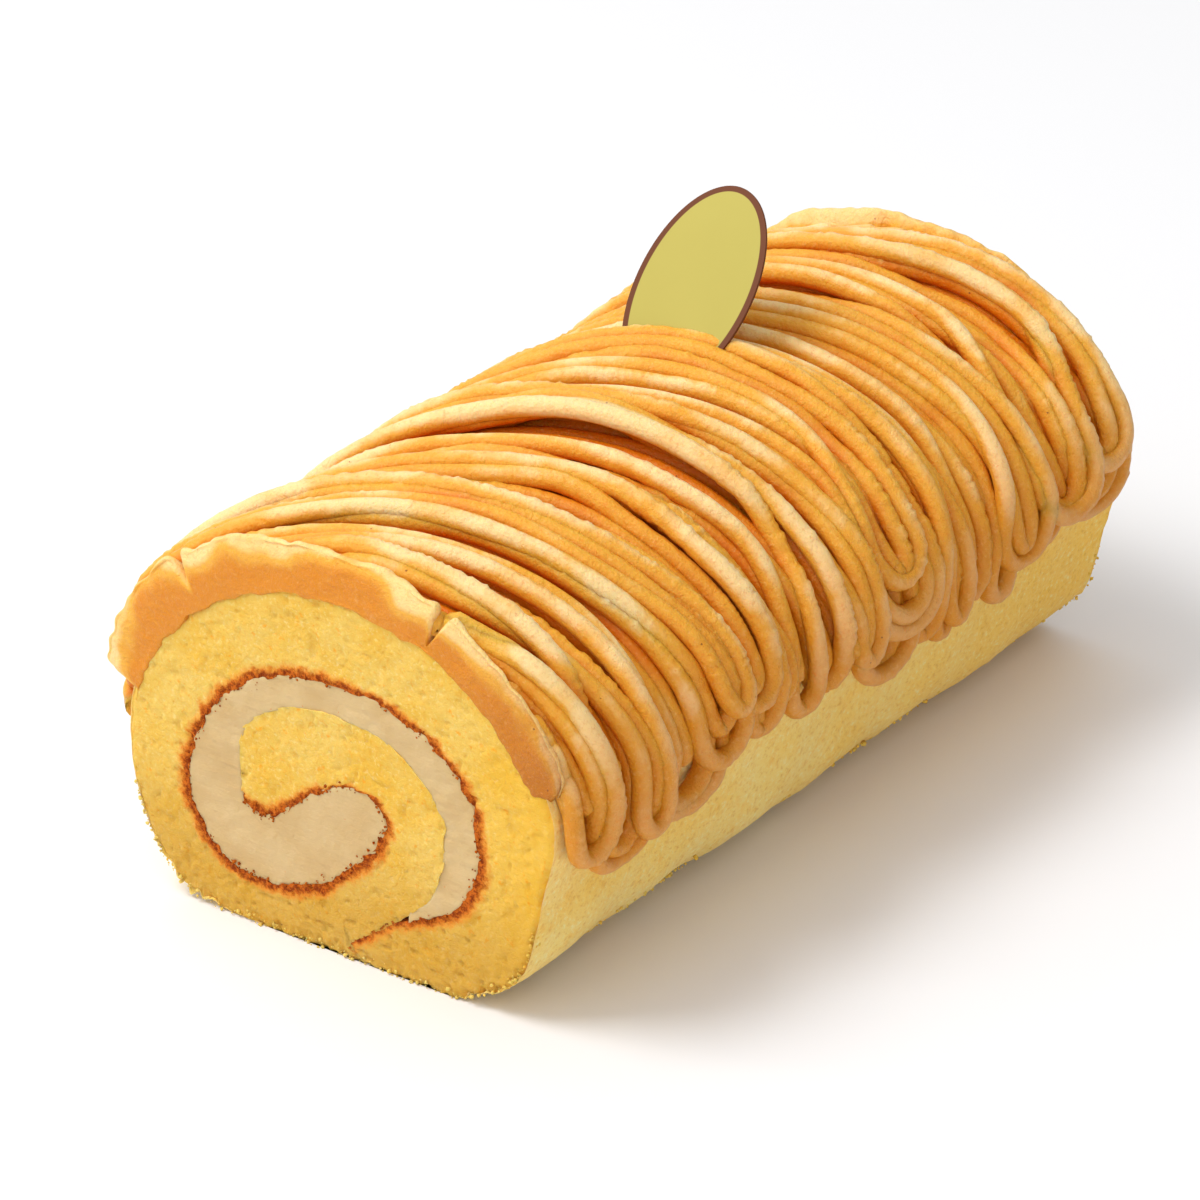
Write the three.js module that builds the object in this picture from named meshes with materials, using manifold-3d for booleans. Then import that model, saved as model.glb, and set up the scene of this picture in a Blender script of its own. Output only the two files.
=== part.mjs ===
// A swiss roll cake under piped chestnut cream, with an oval name tag stuck in the top.
// Millimetres, +Z up. The roll lies along X with its sliced face towards -X, and the origin is on the
// table under the middle of the roll. The body is a rolled sponge sheet (browned side inwards), a filling
// that fills the spiral, a topping of chestnut cream piped to and fro across the roll, and the tag.
import * as THREE from "three";
import { mergeVertices } from "three/addons/utils/BufferGeometryUtils.js";
import Module from "manifold-3d";

// ---- Driving dimensions (mm, degrees) ----
const LENGTH = 150; // of the roll, between its two sliced faces
const FRONT_SLICE_TURN = 2.5; // degrees that the front slice is off square
const HALF_WIDTH = 39; // of the sponge roll
const HALF_HEIGHT = 30; // of the sponge roll above and below its middle
const GAP = 0.3; // between neighbouring pieces

const COAT_SIDE = 1.6; // cream spread on the sponge under the strands, at the sides
const COAT_TOP = 2; // the same on top
const COAT_EDGE = 8; // degrees above the level of the roll's middle where the coat ends
const RIM = 5.4; // extra thickness where the knife smeared the strands into one band at the front slice
const BACK_RIM = 3.6; // the same at the back slice, over the top only
const RIM_DEPTH = 3.6; // how far that band reaches back from the slice

const STRAND_RADIUS = 1.6;
const STRAND_PITCH = 3.4; // between the nozzle's holes
const STRAND_SINK = 0.5; // how deep a strand presses into the coat
const STACKING = 0.74; // share of its height that a strand under another one keeps
const FAR_BEND_DEPTH = 4.5; // height of the round end of a loop on the hidden side
const FAR_ANGLE = 184; // degrees, where the strokes turn on the hidden side
const LEAN = 28; // how far a stroke drifts towards the front slice on its way over
const LEAN_GROWTH = -0.08; // how this changes with x
const RIDGE_REACH = 74; // x of the last ridge that the strokes lie in, and of the first one on the other side
const RIDGE_JITTER = 1.9;
const HELD_TOGETHER = 0.6; // pitch of a stroke's strands on the run, as a share of that at the bends
const FAN = 0.3; // share of the way over which they draw together
const LOOPS_SHOWN = 21; // loops modelled one by one, at most one from each near turn: those that show most

const TAG_HALF_WIDTH = 10.6;
const TAG_HALF_HEIGHT = 17.4;
const TAG_THICKNESS = 0.5;
const TAG_LEAN = 43; // degrees back from upright
const TAG_MIDDLE = [17.4, 4.3, 73.4];

// The sheet's skin in section, as [y, z], from the sheet's outer end under the roll, up the near side, over
// the top and down to the seam. The flat stretches at z = 0 are the base.
const SKIN = [
  [-4.6, 0], [-20, 0], [-32, 7.5], [-36, 22], [-38.6, 36], [-31.5, 47.5], [-17, 56.8], [0, 60],
  [17, 56.3], [30.5, 46.7], [38.3, 32], [37.6, 14], [29.5, 2], [14, 0], [-3.9, 0],
];
// The same skin inside the roll, from the seam round to the tip of the rolled-in end.
const TONGUE = [
  [-0.4, 2.7], [-12.3, 11.6], [-17.5, 17.5], [-18.5, 30.5],
  [-8.5, 39.4], [6.5, 40.1], [16.9, 34], [18.4, 22.8],
];
// The browned face on the sheet's other side, point by point opposite SKIN and then TONGUE.
const BROWNED = [
  [-0.8, 2.1], [-11.2, 10.2], [-17.6, 12.8], [-22.4, 17.2], [-25, 26.5], [-22.3, 36.4], [-14.5, 42.7],
  [-3.5, 45.8], [6.5, 45.1], [16.3, 40.8], [23.6, 34], [27.8, 24], [26.2, 14.8], [19.5, 9.2],
  [10.5, 8.6], [3, 12], [-4.2, 18.4], [-8.1, 25], [-4.5, 29.6], [2.3, 27.9], [8, 23.2],
  [13.4, 19.3], [17.7, 20.6],
];
const SEAM_TOP = 1; // index in BROWNED, and from its start in TONGUE, where the filling begins

// The nozzle's turns on the near side in the order piped: [x, angle of the lowest point, half the distance
// between its two strokes, how far the loops of one turn lie inside each other (0 side by side, 1 round one
// middle), how many strands show].
const TURNS = [
  [72, 4, 3.2, 0.3, 1], [62, 0, 6, 0.8, 2], [64, 12, 4.6, 1, 2], [48, -4, 4.2, 0.3, 1], [52, 6, 5, 0.9, 2],
  [30, -6, 2.2, 0.2, 1], [37, -8, 2.9, 0.3, 1], [41, 1, 3, 0.9, 2], [22, -8, 2, 0.2, 2],
  [15.4, -6, 2.5, 0.4, 1], [4.3, -7, 5.5, 0.9, 2], [8.7, 5, 6.8, 1, 2], [8.7, 17, 3.4, 1, 2],
  [-3, 4, 1.7, 0.3, 2], [-10.2, -3, 2.9, 0.5, 1], [-15.5, -4, 2.6, 0.3, 1], [-22, 3, 1.7, 0.5, 1],
  [-26.5, -1, 2.2, 0.3, 1], [-29.5, 10, 2.9, 0.8, 2], [-44.7, -10, 6.9, 0.9, 2], [-38, -1, 4.1, 0.6, 1],
  [-37, 9, 1.7, 0.3, 2], [-60.2, -12, 5, 0.9, 2], [-55, -5, 2.7, 0.3, 1], [-64, 12, 1.7, 0.3, 1],
  [-68.4, -3, 3.2, 0.3, 1],
];

// Valleys where the strands drew apart: [ridge that they lie on, angle, half width in mm, half length in degrees].
const VALLEYS = [[55.6, 62, 8, 24], [6.5, 92, 6, 22], [-32, 78, 5, 18], [-58.5, 60, 4, 18]];

// ---- Small helpers ----
const DEGREE = Math.PI / 180;
const clamp = (v, low, high) => Math.min(high, Math.max(low, v));
const smooth = (v) => {
  const t = clamp(v, 0, 1);
  return t * t * (3 - 2 * t);
};
// Evenly spread but irregular numbers between -1 and 1, by steps of the golden ratio.
const uneven = (n) => 2 * ((n * 0.6180339887 + 0.37) % 1) - 1;
const frontSlice = (y) => -LENGTH / 2 - y * Math.tan(FRONT_SLICE_TURN * DEGREE);
const vectors = (rows) => rows.map(([y, z]) => new THREE.Vector2(y, z));

const wasm = await Module();
wasm.setup();

function solidOf(geometry) {
  const bare = geometry.index ? geometry.toNonIndexed() : geometry.clone();
  bare.deleteAttribute("normal");
  bare.deleteAttribute("uv");
  const merged = mergeVertices(bare, 1e-4);
  return new wasm.Manifold(
    new wasm.Mesh({
      numProp: 3,
      vertProperties: new Float32Array(merged.attributes.position.array),
      triVerts: new Uint32Array(merged.index.array),
    }),
  );
}

function geometryOf(solid) {
  const mesh = solid.getMesh();
  const geometry = new THREE.BufferGeometry();
  geometry.setAttribute("position", new THREE.BufferAttribute(mesh.vertProperties, 3));
  geometry.setIndex(new THREE.BufferAttribute(mesh.triVerts, 1));
  geometry.computeVertexNormals();
  return geometry;
}

// A closed body through rings of equal length, each a list of [x, y, z] that runs counter-clockwise seen
// from the last ring. Each end is closed by the triangles in caps, which name points of a ring.
function tube(rings, caps) {
  const count = rings[0].length;
  const last = (rings.length - 1) * count;
  const index = [];
  for (const [a, b, c] of caps) index.push(a, c, b, last + a, last + b, last + c);
  for (let r = 0; r < rings.length - 1; r += 1) {
    for (let i = 0; i < count; i += 1) {
      const a = r * count + i;
      const b = r * count + ((i + 1) % count);
      index.push(a, b, b + count, a, b + count, a + count);
    }
  }
  const geometry = new THREE.BufferGeometry();
  geometry.setAttribute("position", new THREE.Float32BufferAttribute(rings.flat(2), 3));
  geometry.setIndex(index);
  return geometry;
}

// A body along the roll, its flat ends triangulated on the outline of the first ring.
function loft(rings) {
  const outline = rings[0].map(([, y, z]) => new THREE.Vector2(y, z));
  return tube(rings, THREE.ShapeUtils.triangulateShape(outline, []));
}

// Every point of a closed outline moved outwards along its own normal (inwards if by is negative).
function offset(outline, by) {
  const count = outline.length;
  return outline.map((p, i) => {
    const before = outline[(i + count - 1) % count];
    const after = outline[(i + 1) % count];
    const along = new THREE.Vector2().subVectors(after, before).normalize();
    return new THREE.Vector2(p.x + along.y * by, p.y - along.x * by);
  });
}

// ---- The sponge sheet ----
const SPAN_STEPS = 3; // straight steps between two named points
const spline = (rows) => {
  const points = vectors(rows);
  return new THREE.SplineCurve(points).getPoints(SPAN_STEPS * (points.length - 1));
};
const browned = spline(BROWNED);
const tongue = spline(TONGUE);
// The base is pressed flat by the roll's weight.
const skin = spline(SKIN).map((p) => new THREE.Vector2(p.x, Math.max(p.y, 0)));

// The skin's unevenness along the roll: shallow waves, and at the slices a torn, crumbly lower edge.
function skinRelief(x, z, i) {
  if (z < 0.01) return 0;
  const waves = 0.3 * Math.sin(0.11 * x + 0.5 * i) + 0.2 * Math.sin(0.29 * x - 0.9 * i);
  const torn = smooth((10 - z) / 6) * smooth((Math.abs(x) - LENGTH / 2 + 3) / 3) * 0.9 * uneven(7 * i);
  return (waves + torn) * smooth(z / 3);
}

const STATIONS = [0, 0.02, 0.2, 0.4, 0.6, 0.8, 0.98, 1]; // along the roll, as shares of its length
const station = (share, y) => THREE.MathUtils.lerp(frontSlice(y), LENGTH / 2, share);

// Rings of an outline given clockwise as SKIN is, with the skin's part of it grown and made uneven.
function skinRings(inner, grow, stations) {
  const outline = [...skin, ...inner].reverse();
  const grown = offset(outline, 1);
  return stations.map((share) =>
    outline.map((p, i) => {
      const fromStart = outline.length - 1 - i;
      const x = station(share, p.x);
      const onSkin = fromStart < skin.length;
      const by = onSkin ? grow + skinRelief(x, p.y, fromStart) : 0;
      return [x, p.x + (grown[i].x - p.x) * by, p.y + (grown[i].y - p.y) * by];
    }),
  );
}
const spongeGeometry = loft(skinRings([...tongue, ...[...browned].reverse()], 0, STATIONS));
// The room the sponge takes up, a little larger, that the topping is cut away from.
const spongeRoom = solidOf(loft(skinRings([], GAP, [-0.05, ...STATIONS.slice(1, -1), 1.05])));

// ---- The filling ----
// It lies between the browned face and the tongue, from the seam to the pocket under the tongue's tip.
const fillingOutline = [
  ...browned.slice(SEAM_TOP * SPAN_STEPS + 1),
  ...[...tongue.slice(SEAM_TOP * SPAN_STEPS + 1)].reverse(),
].reverse();
const fillingGeometry = loft(
  [0, 1].map((share) => offset(fillingOutline, -GAP).map((p) => [station(share, p.x), p.x, p.y])),
);

// ---- The piped strands ----
// A place on the topping is an angle round the roll (0 level with its middle on the near side, 90 on top)
// and a height above the sponge. ROUND turns an angle into a length along the surface.
const ROUND = HALF_WIDTH * DEGREE;
function place(x, angle, height) {
  const a = angle * DEGREE;
  return [x, -(HALF_WIDTH + height) * Math.cos(a), HALF_HEIGHT + (HALF_HEIGHT + height) * Math.sin(a)];
}
function coatThickness(angle) {
  const fromEdge = Math.min(angle, 180 - angle) - COAT_EDGE;
  return THREE.MathUtils.lerp(COAT_SIDE, COAT_TOP, Math.sin(angle * DEGREE)) * smooth((fromEdge + 4) / 8);
}

// The strokes in the order they were piped: two for each near turn, joined there, and each joined to the next
// turn's first one by a far turn. On their way over, they lie in evenly spread ridges, in the order of their
// near ends.
function strokes() {
  const legs = TURNS.flatMap(([nearX, angle, half, nest, strands], turn) =>
    [1, -1].map((side) => ({ turn, nearX, side, half, angle, nest, strands })),
  );
  const nearEnd = (leg) => leg.nearX + leg.side * leg.half;
  [...legs]
    .sort((a, b) => nearEnd(a) - nearEnd(b))
    .forEach((leg, rank) => {
      leg.ridge = RIDGE_REACH * ((2 * rank) / (legs.length - 1) - 1) + RIDGE_JITTER * uneven(rank);
      leg.lean = LEAN + LEAN_GROWTH * leg.ridge;
      leg.farX = leg.ridge - leg.lean;
    });
  return legs.map((leg, n) => {
    const partner = legs[n % 2 ? n + 1 : n - 1];
    const half = partner ? (leg.farX - partner.farX) / 2 : 0;
    const farHalf = partner ? Math.sign(half || 1) * Math.max(Math.abs(half), 1.8) : 0;
    return { ...leg, farMiddle: leg.farX - farHalf, farHalf, number: n };
  });
}

// Where a strand near ridge x is pushed to by the valleys at an angle.
function pushedAside(x, angle) {
  return VALLEYS.reduce((at, [valley, level, width, length]) => {
    const off = (at - valley) / width;
    return at + 0.85 * width * off * Math.exp(-off * off - ((angle - level) / length) ** 2);
  }, x);
}

// The centre line of one strand of one stroke, as [x, angle], from its near loop to its far loop: a quarter
// oval; a run that draws in to its ridge, drifts across, fans out again and wanders a little; a quarter oval.
const RUN_STEPS = 108;
const BEND_STEPS = 8;
function strandLine(stroke, k) {
  const { number, turn, nest, lean } = stroke;
  const farTurn = Math.floor((number + 1) / 2);
  const reach = ((stroke.strands - 1) / 2) * STRAND_PITCH;
  const hole = k * STRAND_PITCH - reach;
  const nearHole = hole + 0.5 * uneven(7 * turn + 5 * k);
  const farHole = hole + 0.5 * uneven(5 * farTurn + 3 * k + 2);
  const half = Math.max(stroke.half + nearHole * nest, 1.6);
  const middle = stroke.nearX + nearHole * (1 - nest);
  const hang = 0.8 * (reach - nearHole) * nest + 3.2 * (1 + uneven(4 * turn + k)) * (1 - 0.7 * nest);
  const near = stroke.angle + hang / ROUND;
  const far = FAR_ANGLE - 7 * (1 + uneven(11 * farTurn + 3 * k));
  const nearDepth = (2.6 + 0.75 * half) / ROUND;
  const farDepth = FAR_BEND_DEPTH / ROUND;
  const nearEnd = middle + stroke.side * half;
  const held = HELD_TOGETHER * (1 + 0.8 * uneven(3 * number + 1)) * hole;
  const ridge = stroke.ridge + held + 0.3 * uneven(2 * number + 3 * k);
  const farEnd = stroke.farX + farHole + lean;
  const quarter = Array.from({ length: BEND_STEPS + 1 }, (_, i) => ((i / BEND_STEPS) * Math.PI) / 2);
  const nearBend = quarter.map((turned) => [
    middle + stroke.side * half * Math.sin(turned),
    near + nearDepth * (1 - Math.cos(turned)),
  ]);
  const farBend = quarter.reverse().map((turned) => [
    stroke.farMiddle + stroke.farHalf * Math.sin(turned) + farHole,
    far - farDepth * (1 - Math.cos(turned)),
  ]);
  const run = Array.from({ length: RUN_STEPS - 1 }, (_, i) => {
    const share = (i + 1) / RUN_STEPS;
    const angle = THREE.MathUtils.lerp(near + nearDepth, far - farDepth, share);
    const drawnIn = THREE.MathUtils.lerp(nearEnd, ridge, smooth(share / FAN));
    const x = THREE.MathUtils.lerp(drawnIn, farEnd, smooth((share - 1 + FAN) / FAN));
    return [pushedAside(x, angle) - lean * smooth(share ** 1.35), angle];
  });
  const phase = 2.4 * number + 1.3 * k;
  return [...nearBend, ...run, ...farBend].map(([x, angle]) => {
    const wander = 0.5 * Math.sin(angle / 16 + 2.4 * number) + 0.2 * Math.sin(angle / 9 + phase);
    return [x + wander * smooth((angle - near) / 12) * smooth((far - angle) / 12), angle];
  });
}

// The bed is the surface the next strand lands on: heights above the sponge on a grid of x and angle.
const CELL = 0.5;
const BED_X = -LENGTH / 2 - 15;
const BED_ANGLE = -25;
const BED_COLUMNS = Math.round((LENGTH + 30) / CELL);
const BED_ROWS = Math.round((230 * ROUND) / CELL);
const bed = new Float64Array(BED_COLUMNS * BED_ROWS);
for (let row = 0; row < BED_ROWS; row += 1) {
  bed.fill(coatThickness(BED_ANGLE + (row * CELL) / ROUND), row * BED_COLUMNS, (row + 1) * BED_COLUMNS);
}
function bedCell(x, angle) {
  const column = clamp(Math.round((x - BED_X) / CELL), 0, BED_COLUMNS - 1);
  const row = clamp(Math.round(((angle - BED_ANGLE) * ROUND) / CELL), 0, BED_ROWS - 1);
  return row * BED_COLUMNS + column;
}

// Unit vectors across a line in the unrolled surface, as [dx, dangle] for one millimetre.
function acrossLine(line) {
  return line.map((_, i) => {
    const [x0, a0] = line[Math.max(i - 1, 0)];
    const [x1, a1] = line[Math.min(i + 1, line.length - 1)];
    const dx = x1 - x0;
    const ds = (a1 - a0) * ROUND;
    const length = Math.hypot(dx, ds);
    return [ds / length, -dx / length / ROUND];
  });
}

// Lays one strand on the bed: it rests on the highest thing under it, which gives way a little, and it is
// evened out along its length. Returns its centre's heights, and raises the bed to the strand's top.
const EVEN_REACH = 5;
function layStrand(line, across) {
  const offsets = [-0.8, -0.4, 0, 0.4, 0.8].map((share) => share * STRAND_RADIUS);
  const rest = line.map(([x, angle], i) => {
    const supports = offsets.map((d) => {
      const under = bed[bedCell(x + d * across[i][0], angle + d * across[i][1])];
      return under + Math.sqrt(STRAND_RADIUS ** 2 - d * d);
    });
    const coat = coatThickness(angle);
    return coat + STRAND_RADIUS - STRAND_SINK + STACKING * (Math.max(...supports) - coat - STRAND_RADIUS);
  });
  const heights = rest.map((_, i) => {
    const near = rest.slice(Math.max(i - EVEN_REACH, 0), i + EVEN_REACH + 1);
    return near.reduce((sum, h) => sum + h, 0) / near.length;
  });
  line.forEach(([x, angle], i) => {
    for (let d = -STRAND_RADIUS; d <= STRAND_RADIUS; d += CELL / 2) {
      const cell = bedCell(x + d * across[i][0], angle + d * across[i][1]);
      bed[cell] = Math.max(bed[cell], heights[i] + Math.sqrt(Math.max(STRAND_RADIUS ** 2 - d * d, 0)));
    }
  });
  return heights;
}

const strands = [];
for (const stroke of strokes()) {
  for (let k = 0; k < stroke.strands; k += 1) {
    const line = strandLine(stroke, k);
    const across = acrossLine(line);
    strands.push({ turn: stroke.turn, k, line, across, heights: layStrand(line, across) });
  }
}
// How much of a strand is on top once everything is piped, and between the slices.
function showing({ line, heights }) {
  const onTop = line.filter(([x, angle], i) => {
    const bare = heights[i] + STRAND_RADIUS > bed[bedCell(x, angle)] - 0.4;
    return bare && Math.abs(x) < LENGTH / 2;
  });
  return onTop.length / line.length;
}
// The loops that show most, each as the two strands that meet in it.
function showingStrands() {
  const loops = TURNS.map(([, , , , count], turn) =>
    Array.from({ length: count }, (_, k) => {
      const pair = strands.filter((strand) => strand.turn === turn && strand.k === k);
      return { pair, shows: pair.reduce((sum, strand) => sum + showing(strand), 0) };
    }).sort((a, b) => b.shows - a.shows)[0],
  );
  return loops
    .sort((a, b) => b.shows - a.shows)
    .slice(0, LOOPS_SHOWN)
    .flatMap(({ pair }) => pair);
}

// A strand as a three-sided ridge, as high and as wide as the strand and sunk into what carries it. Steps are
// short round the loops and long on the straight run.
const RIDGE = [[0, 1], [-1, -0.4], [1, -0.4]]; // [aside, up] in strand radii, counter-clockwise along the run
const RUN_STRIDE = 18;
const BEND_STRIDE = 4;
function strandRidge({ line, across, heights }) {
  const last = line.length - 1;
  const picks = line.map((_, i) => i).filter((i) => {
    const fromEnd = Math.min(i, last - i);
    return fromEnd <= BEND_STEPS ? fromEnd % BEND_STRIDE === 0 : (i - BEND_STEPS) % RUN_STRIDE === 0;
  });
  const rings = picks.map((i) =>
    RIDGE.map(([aside, up]) => {
      const d = -aside * STRAND_RADIUS;
      const [x, angle] = line[i];
      return place(x + d * across[i][0], angle + d * across[i][1], heights[i] + up * STRAND_RADIUS);
    }),
  );
  return tube(rings, [[0, 1, 2]]);
}

// ---- The chestnut cream: a core out to the level of the hidden strands, and the strands that show ----
const CORE_ROWS = 11;
const CORE_COLUMNS = 9; // between the smeared bands at the slices
const CORE_DROP = 1.7; // how far the core lies below the mean level of the strands' tops
const CORE_EDGE_THICKNESS = 1.2;
const CORE_OVERLAP = 6; // how far the core is drawn into the sponge before the sponge is cut from it
// The band's height above the sponge at the slices: thinner on both sides, and gone at its lower ends.
function bandHeight(angle, atBack) {
  if (atBack) return (COAT_TOP + BACK_RIM) * smooth((angle - 40) / 30) * smooth((176 - angle) / 14);
  const near = 1.5 * smooth((66 - angle) / 10) + 1.1 * smooth((48 - angle) / 30);
  const far = 1.7 * smooth((angle - 120) / 30);
  return (COAT_TOP + RIM - near - far) * smooth((angle - 13) / 12) * smooth((177 - angle) / 9);
}
// Section of the smeared band: [distance from the slice, share of its full height].
const BAND = [[0, 0.75], [1.3, 1], [RIM_DEPTH - 1.2, 0.9], [RIM_DEPTH, 0]];

// The mean height of the bed around a place, below which the core stays.
function bedLevel(x, angle) {
  let sum = 0;
  let count = 0;
  for (let dx = -4; dx <= 4; dx += 1) {
    for (let ds = -3; ds <= 3; ds += 1) {
      sum += bed[bedCell(x + dx, angle + ds / ROUND)];
      count += 1;
    }
  }
  return sum / count;
}
// The core's stations from slice to slice, each with the band's share of thickness there.
function coreStations() {
  const inside = LENGTH - 2 * RIM_DEPTH;
  const between = Array.from({ length: CORE_COLUMNS - 1 }, (_, i) => [
    RIM_DEPTH + (inside * (i + 1)) / CORE_COLUMNS,
    0,
  ]);
  const back = [...BAND].reverse().map(([d, share]) => [LENGTH - d, share]);
  return [...BAND, ...between, ...back].map(([d, share]) => [d / LENGTH, share]);
}
function coreGeometry() {
  return loft(
    coreStations().map(([along, share]) => {
      const angles = Array.from({ length: CORE_ROWS + 1 }, (_, row) =>
        THREE.MathUtils.lerp(COAT_EDGE - 3, 183 - COAT_EDGE, row / CORE_ROWS),
      );
      const stationAt = (angle) => station(along, -HALF_WIDTH * Math.cos(angle * DEGREE));
      const outer = angles.map((angle) => {
        const x = stationAt(angle);
        const band = share * bandHeight(angle, along > 0.5);
        return place(x, angle, Math.max(bedLevel(x, angle) - CORE_DROP, band, CORE_EDGE_THICKNESS));
      });
      const inner = angles.map((angle) => place(stationAt(angle), angle, -CORE_OVERLAP));
      return [...inner, ...outer.reverse()];
    }),
  );
}

// The slab between the two slices.
function sliceRoom() {
  const reach = 2 * HALF_WIDTH;
  const corners = [[-reach, -reach], [reach, -reach], [reach, 2 * reach], [-reach, 2 * reach]];
  return solidOf(loft([0, 1].map((share) => corners.map(([y, z]) => [station(share, y), y, z]))));
}

// ---- The tag ----
const TAG_SIDES = 32;
function tagGeometry(grow) {
  const oval = new THREE.Shape();
  oval.absellipse(0, 0, TAG_HALF_WIDTH + grow, TAG_HALF_HEIGHT + grow, 0, 2 * Math.PI);
  const depth = TAG_THICKNESS + 2 * grow;
  const plate = new THREE.ExtrudeGeometry(oval, { depth, bevelEnabled: false, curveSegments: TAG_SIDES });
  plate.translate(0, 0, -depth / 2);
  return plate;
}
// The oval's width lies along Y, and its face looks towards -X and up.
const tagTurn = new THREE.Matrix4().makeBasis(
  new THREE.Vector3(0, -1, 0),
  new THREE.Vector3(Math.sin(TAG_LEAN * DEGREE), 0, Math.cos(TAG_LEAN * DEGREE)),
  new THREE.Vector3(-Math.cos(TAG_LEAN * DEGREE), 0, Math.sin(TAG_LEAN * DEGREE)),
);
const tagPlace = new THREE.Matrix4().makeTranslation(...TAG_MIDDLE).multiply(tagTurn);
const tagRoom = solidOf(tagGeometry(GAP).applyMatrix4(tagPlace));

function chestnutGeometry() {
  let cream = solidOf(coreGeometry());
  for (const strand of showingStrands()) cream = cream.add(solidOf(strandRidge(strand)));
  cream = cream.subtract(spongeRoom).intersect(sliceRoom()).subtract(tagRoom);
  // Loose scraps are dropped and sealed hollows filled: only the outside of the largest body is kept.
  const bodies = cream.decompose().sort((a, b) => b.volume() - a.volume());
  return geometryOf(bodies[0]);
}

// ---- The whole cake ----
const finish = (color, roughness) => new THREE.MeshStandardMaterial({ color, roughness, metalness: 0 });
function piece(name, geometry, material) {
  const mesh = new THREE.Mesh(geometry, material);
  mesh.name = name;
  return mesh;
}
const cake = new THREE.Group();
cake.add(piece("sponge", spongeGeometry, finish(0xf2cf6a, 0.9)));
cake.add(piece("cream_filling", fillingGeometry, finish(0xecd3a0, 0.6)));
cake.add(piece("chestnut_cream", chestnutGeometry(), finish(0xd99a4e, 0.65)));
const tag = piece("name_tag", tagGeometry(0), finish(0xdfe07a, 0.4));
tag.applyMatrix4(tagPlace);
cake.add(tag);

export default cake;
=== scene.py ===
"""A swiss roll cake under piped chestnut cream, with an oval tag stuck in the top.

The roll lies along X with its sliced face towards -X. Shapes are worked out in millimetres and degrees, in
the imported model's frame, and turned to metres when a mesh is made.
"""

import bpy
import numpy as np
from mathutils import Matrix, Vector


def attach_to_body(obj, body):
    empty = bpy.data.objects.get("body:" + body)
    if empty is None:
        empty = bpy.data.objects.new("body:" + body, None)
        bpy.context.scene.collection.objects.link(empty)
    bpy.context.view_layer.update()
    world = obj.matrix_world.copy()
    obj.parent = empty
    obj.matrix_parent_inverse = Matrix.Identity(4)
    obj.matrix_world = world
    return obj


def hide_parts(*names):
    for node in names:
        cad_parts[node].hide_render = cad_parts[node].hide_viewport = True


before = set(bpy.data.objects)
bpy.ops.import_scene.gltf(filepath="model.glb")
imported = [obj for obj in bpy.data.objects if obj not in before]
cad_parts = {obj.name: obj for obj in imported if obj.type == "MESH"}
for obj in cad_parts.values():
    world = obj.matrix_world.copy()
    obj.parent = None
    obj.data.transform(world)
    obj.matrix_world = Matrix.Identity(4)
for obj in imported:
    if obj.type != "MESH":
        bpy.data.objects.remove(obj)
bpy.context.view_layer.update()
MM = 0.001

# ---- Driving dimensions, as in the solids (mm, degrees) ----
LENGTH = 150.0
FRONT_SLICE_TURN = 2.5
HALF_WIDTH = 39.0
HALF_HEIGHT = 30.0

COAT_SIDE = 1.6  # cream spread under the strands, at the sides and on top
COAT_TOP = 2.0
COAT_EDGE = 8.0  # angle at which it ends on either side
RIM = 5.4  # how much thicker its smeared edge is at the front slice, and at the back one
BACK_RIM = 3.6

STRAND_RADIUS = 1.6
STRAND_HOLES = 2  # in the nozzle
STRAND_PITCH = 3.4
STRAND_SINK = 0.5  # how far it sinks into what it lands on
STACKING = 0.74  # share of the height of the strands below that a strand keeps
FAR_BEND_DEPTH = 4.5  # of the turns on the far side, with their least half width and lowest angle
FAR_BEND_HALF = 1.8
FAR_ANGLE = 184.0
LEAN = 28.0  # how far a stroke drifts towards the front slice on its way over, and how this grows with x
LEAN_GROWTH = -0.08
RIDGE_REACH = 74.0  # x of the outermost ridges in which the strokes lie on top, and their unevenness
RIDGE_JITTER = 1.9
HELD_TOGETHER = 0.6  # pitch of a stroke's strands on the run, as a share of that at the bends
FAN = 0.3  # share of the way over which they draw together

TAG_HALF_WIDTH = 10.6
TAG_HALF_HEIGHT = 17.4
TAG_THICKNESS = 0.5
TAG_LEAN = 43.0
TAG_MIDDLE = (17.4, 4.3, 73.4)
TAG_BORDER = 1.0

# The sheet's skin, its rolled-in end and its browned face in section, as (y, z).
SKIN = [
    (-4.6, 0), (-20, 0), (-32, 7.5), (-36, 22), (-38.6, 36), (-31.5, 47.5), (-17, 56.8), (0, 60),
    (17, 56.3), (30.5, 46.7), (38.3, 32), (37.6, 14), (29.5, 2), (14, 0), (-4.4, 0),
]
TONGUE = [
    (-0.75, 2.2), (-12.2, 11.3), (-17.5, 17.5), (-18.5, 30.5),
    (-8.5, 39.4), (6.5, 40.1), (16.9, 34), (18.4, 22.8),
]
BROWNED = [
    (-0.8, 2.1), (-11.2, 10.2), (-17.6, 12.8), (-22.4, 17.2), (-25, 26.5), (-22.3, 36.4), (-14.5, 42.7),
    (-3.5, 45.8), (6.5, 45.1), (16.3, 40.8), (23.6, 34), (27.8, 24), (26.2, 14.8), (19.5, 9.2),
    (10.5, 8.6), (3, 12), (-4.2, 18.4), (-8.1, 25), (-4.5, 29.6), (2.3, 27.9), (8, 23.2),
    (13.4, 19.3), (17.7, 20.6),
]
SEAM_TOP = 1.1  # place in BROWNED, and from its start in TONGUE, where the filling begins
POCKET_END = 17.0  # place in BROWNED where the filling's pocket ends

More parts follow.
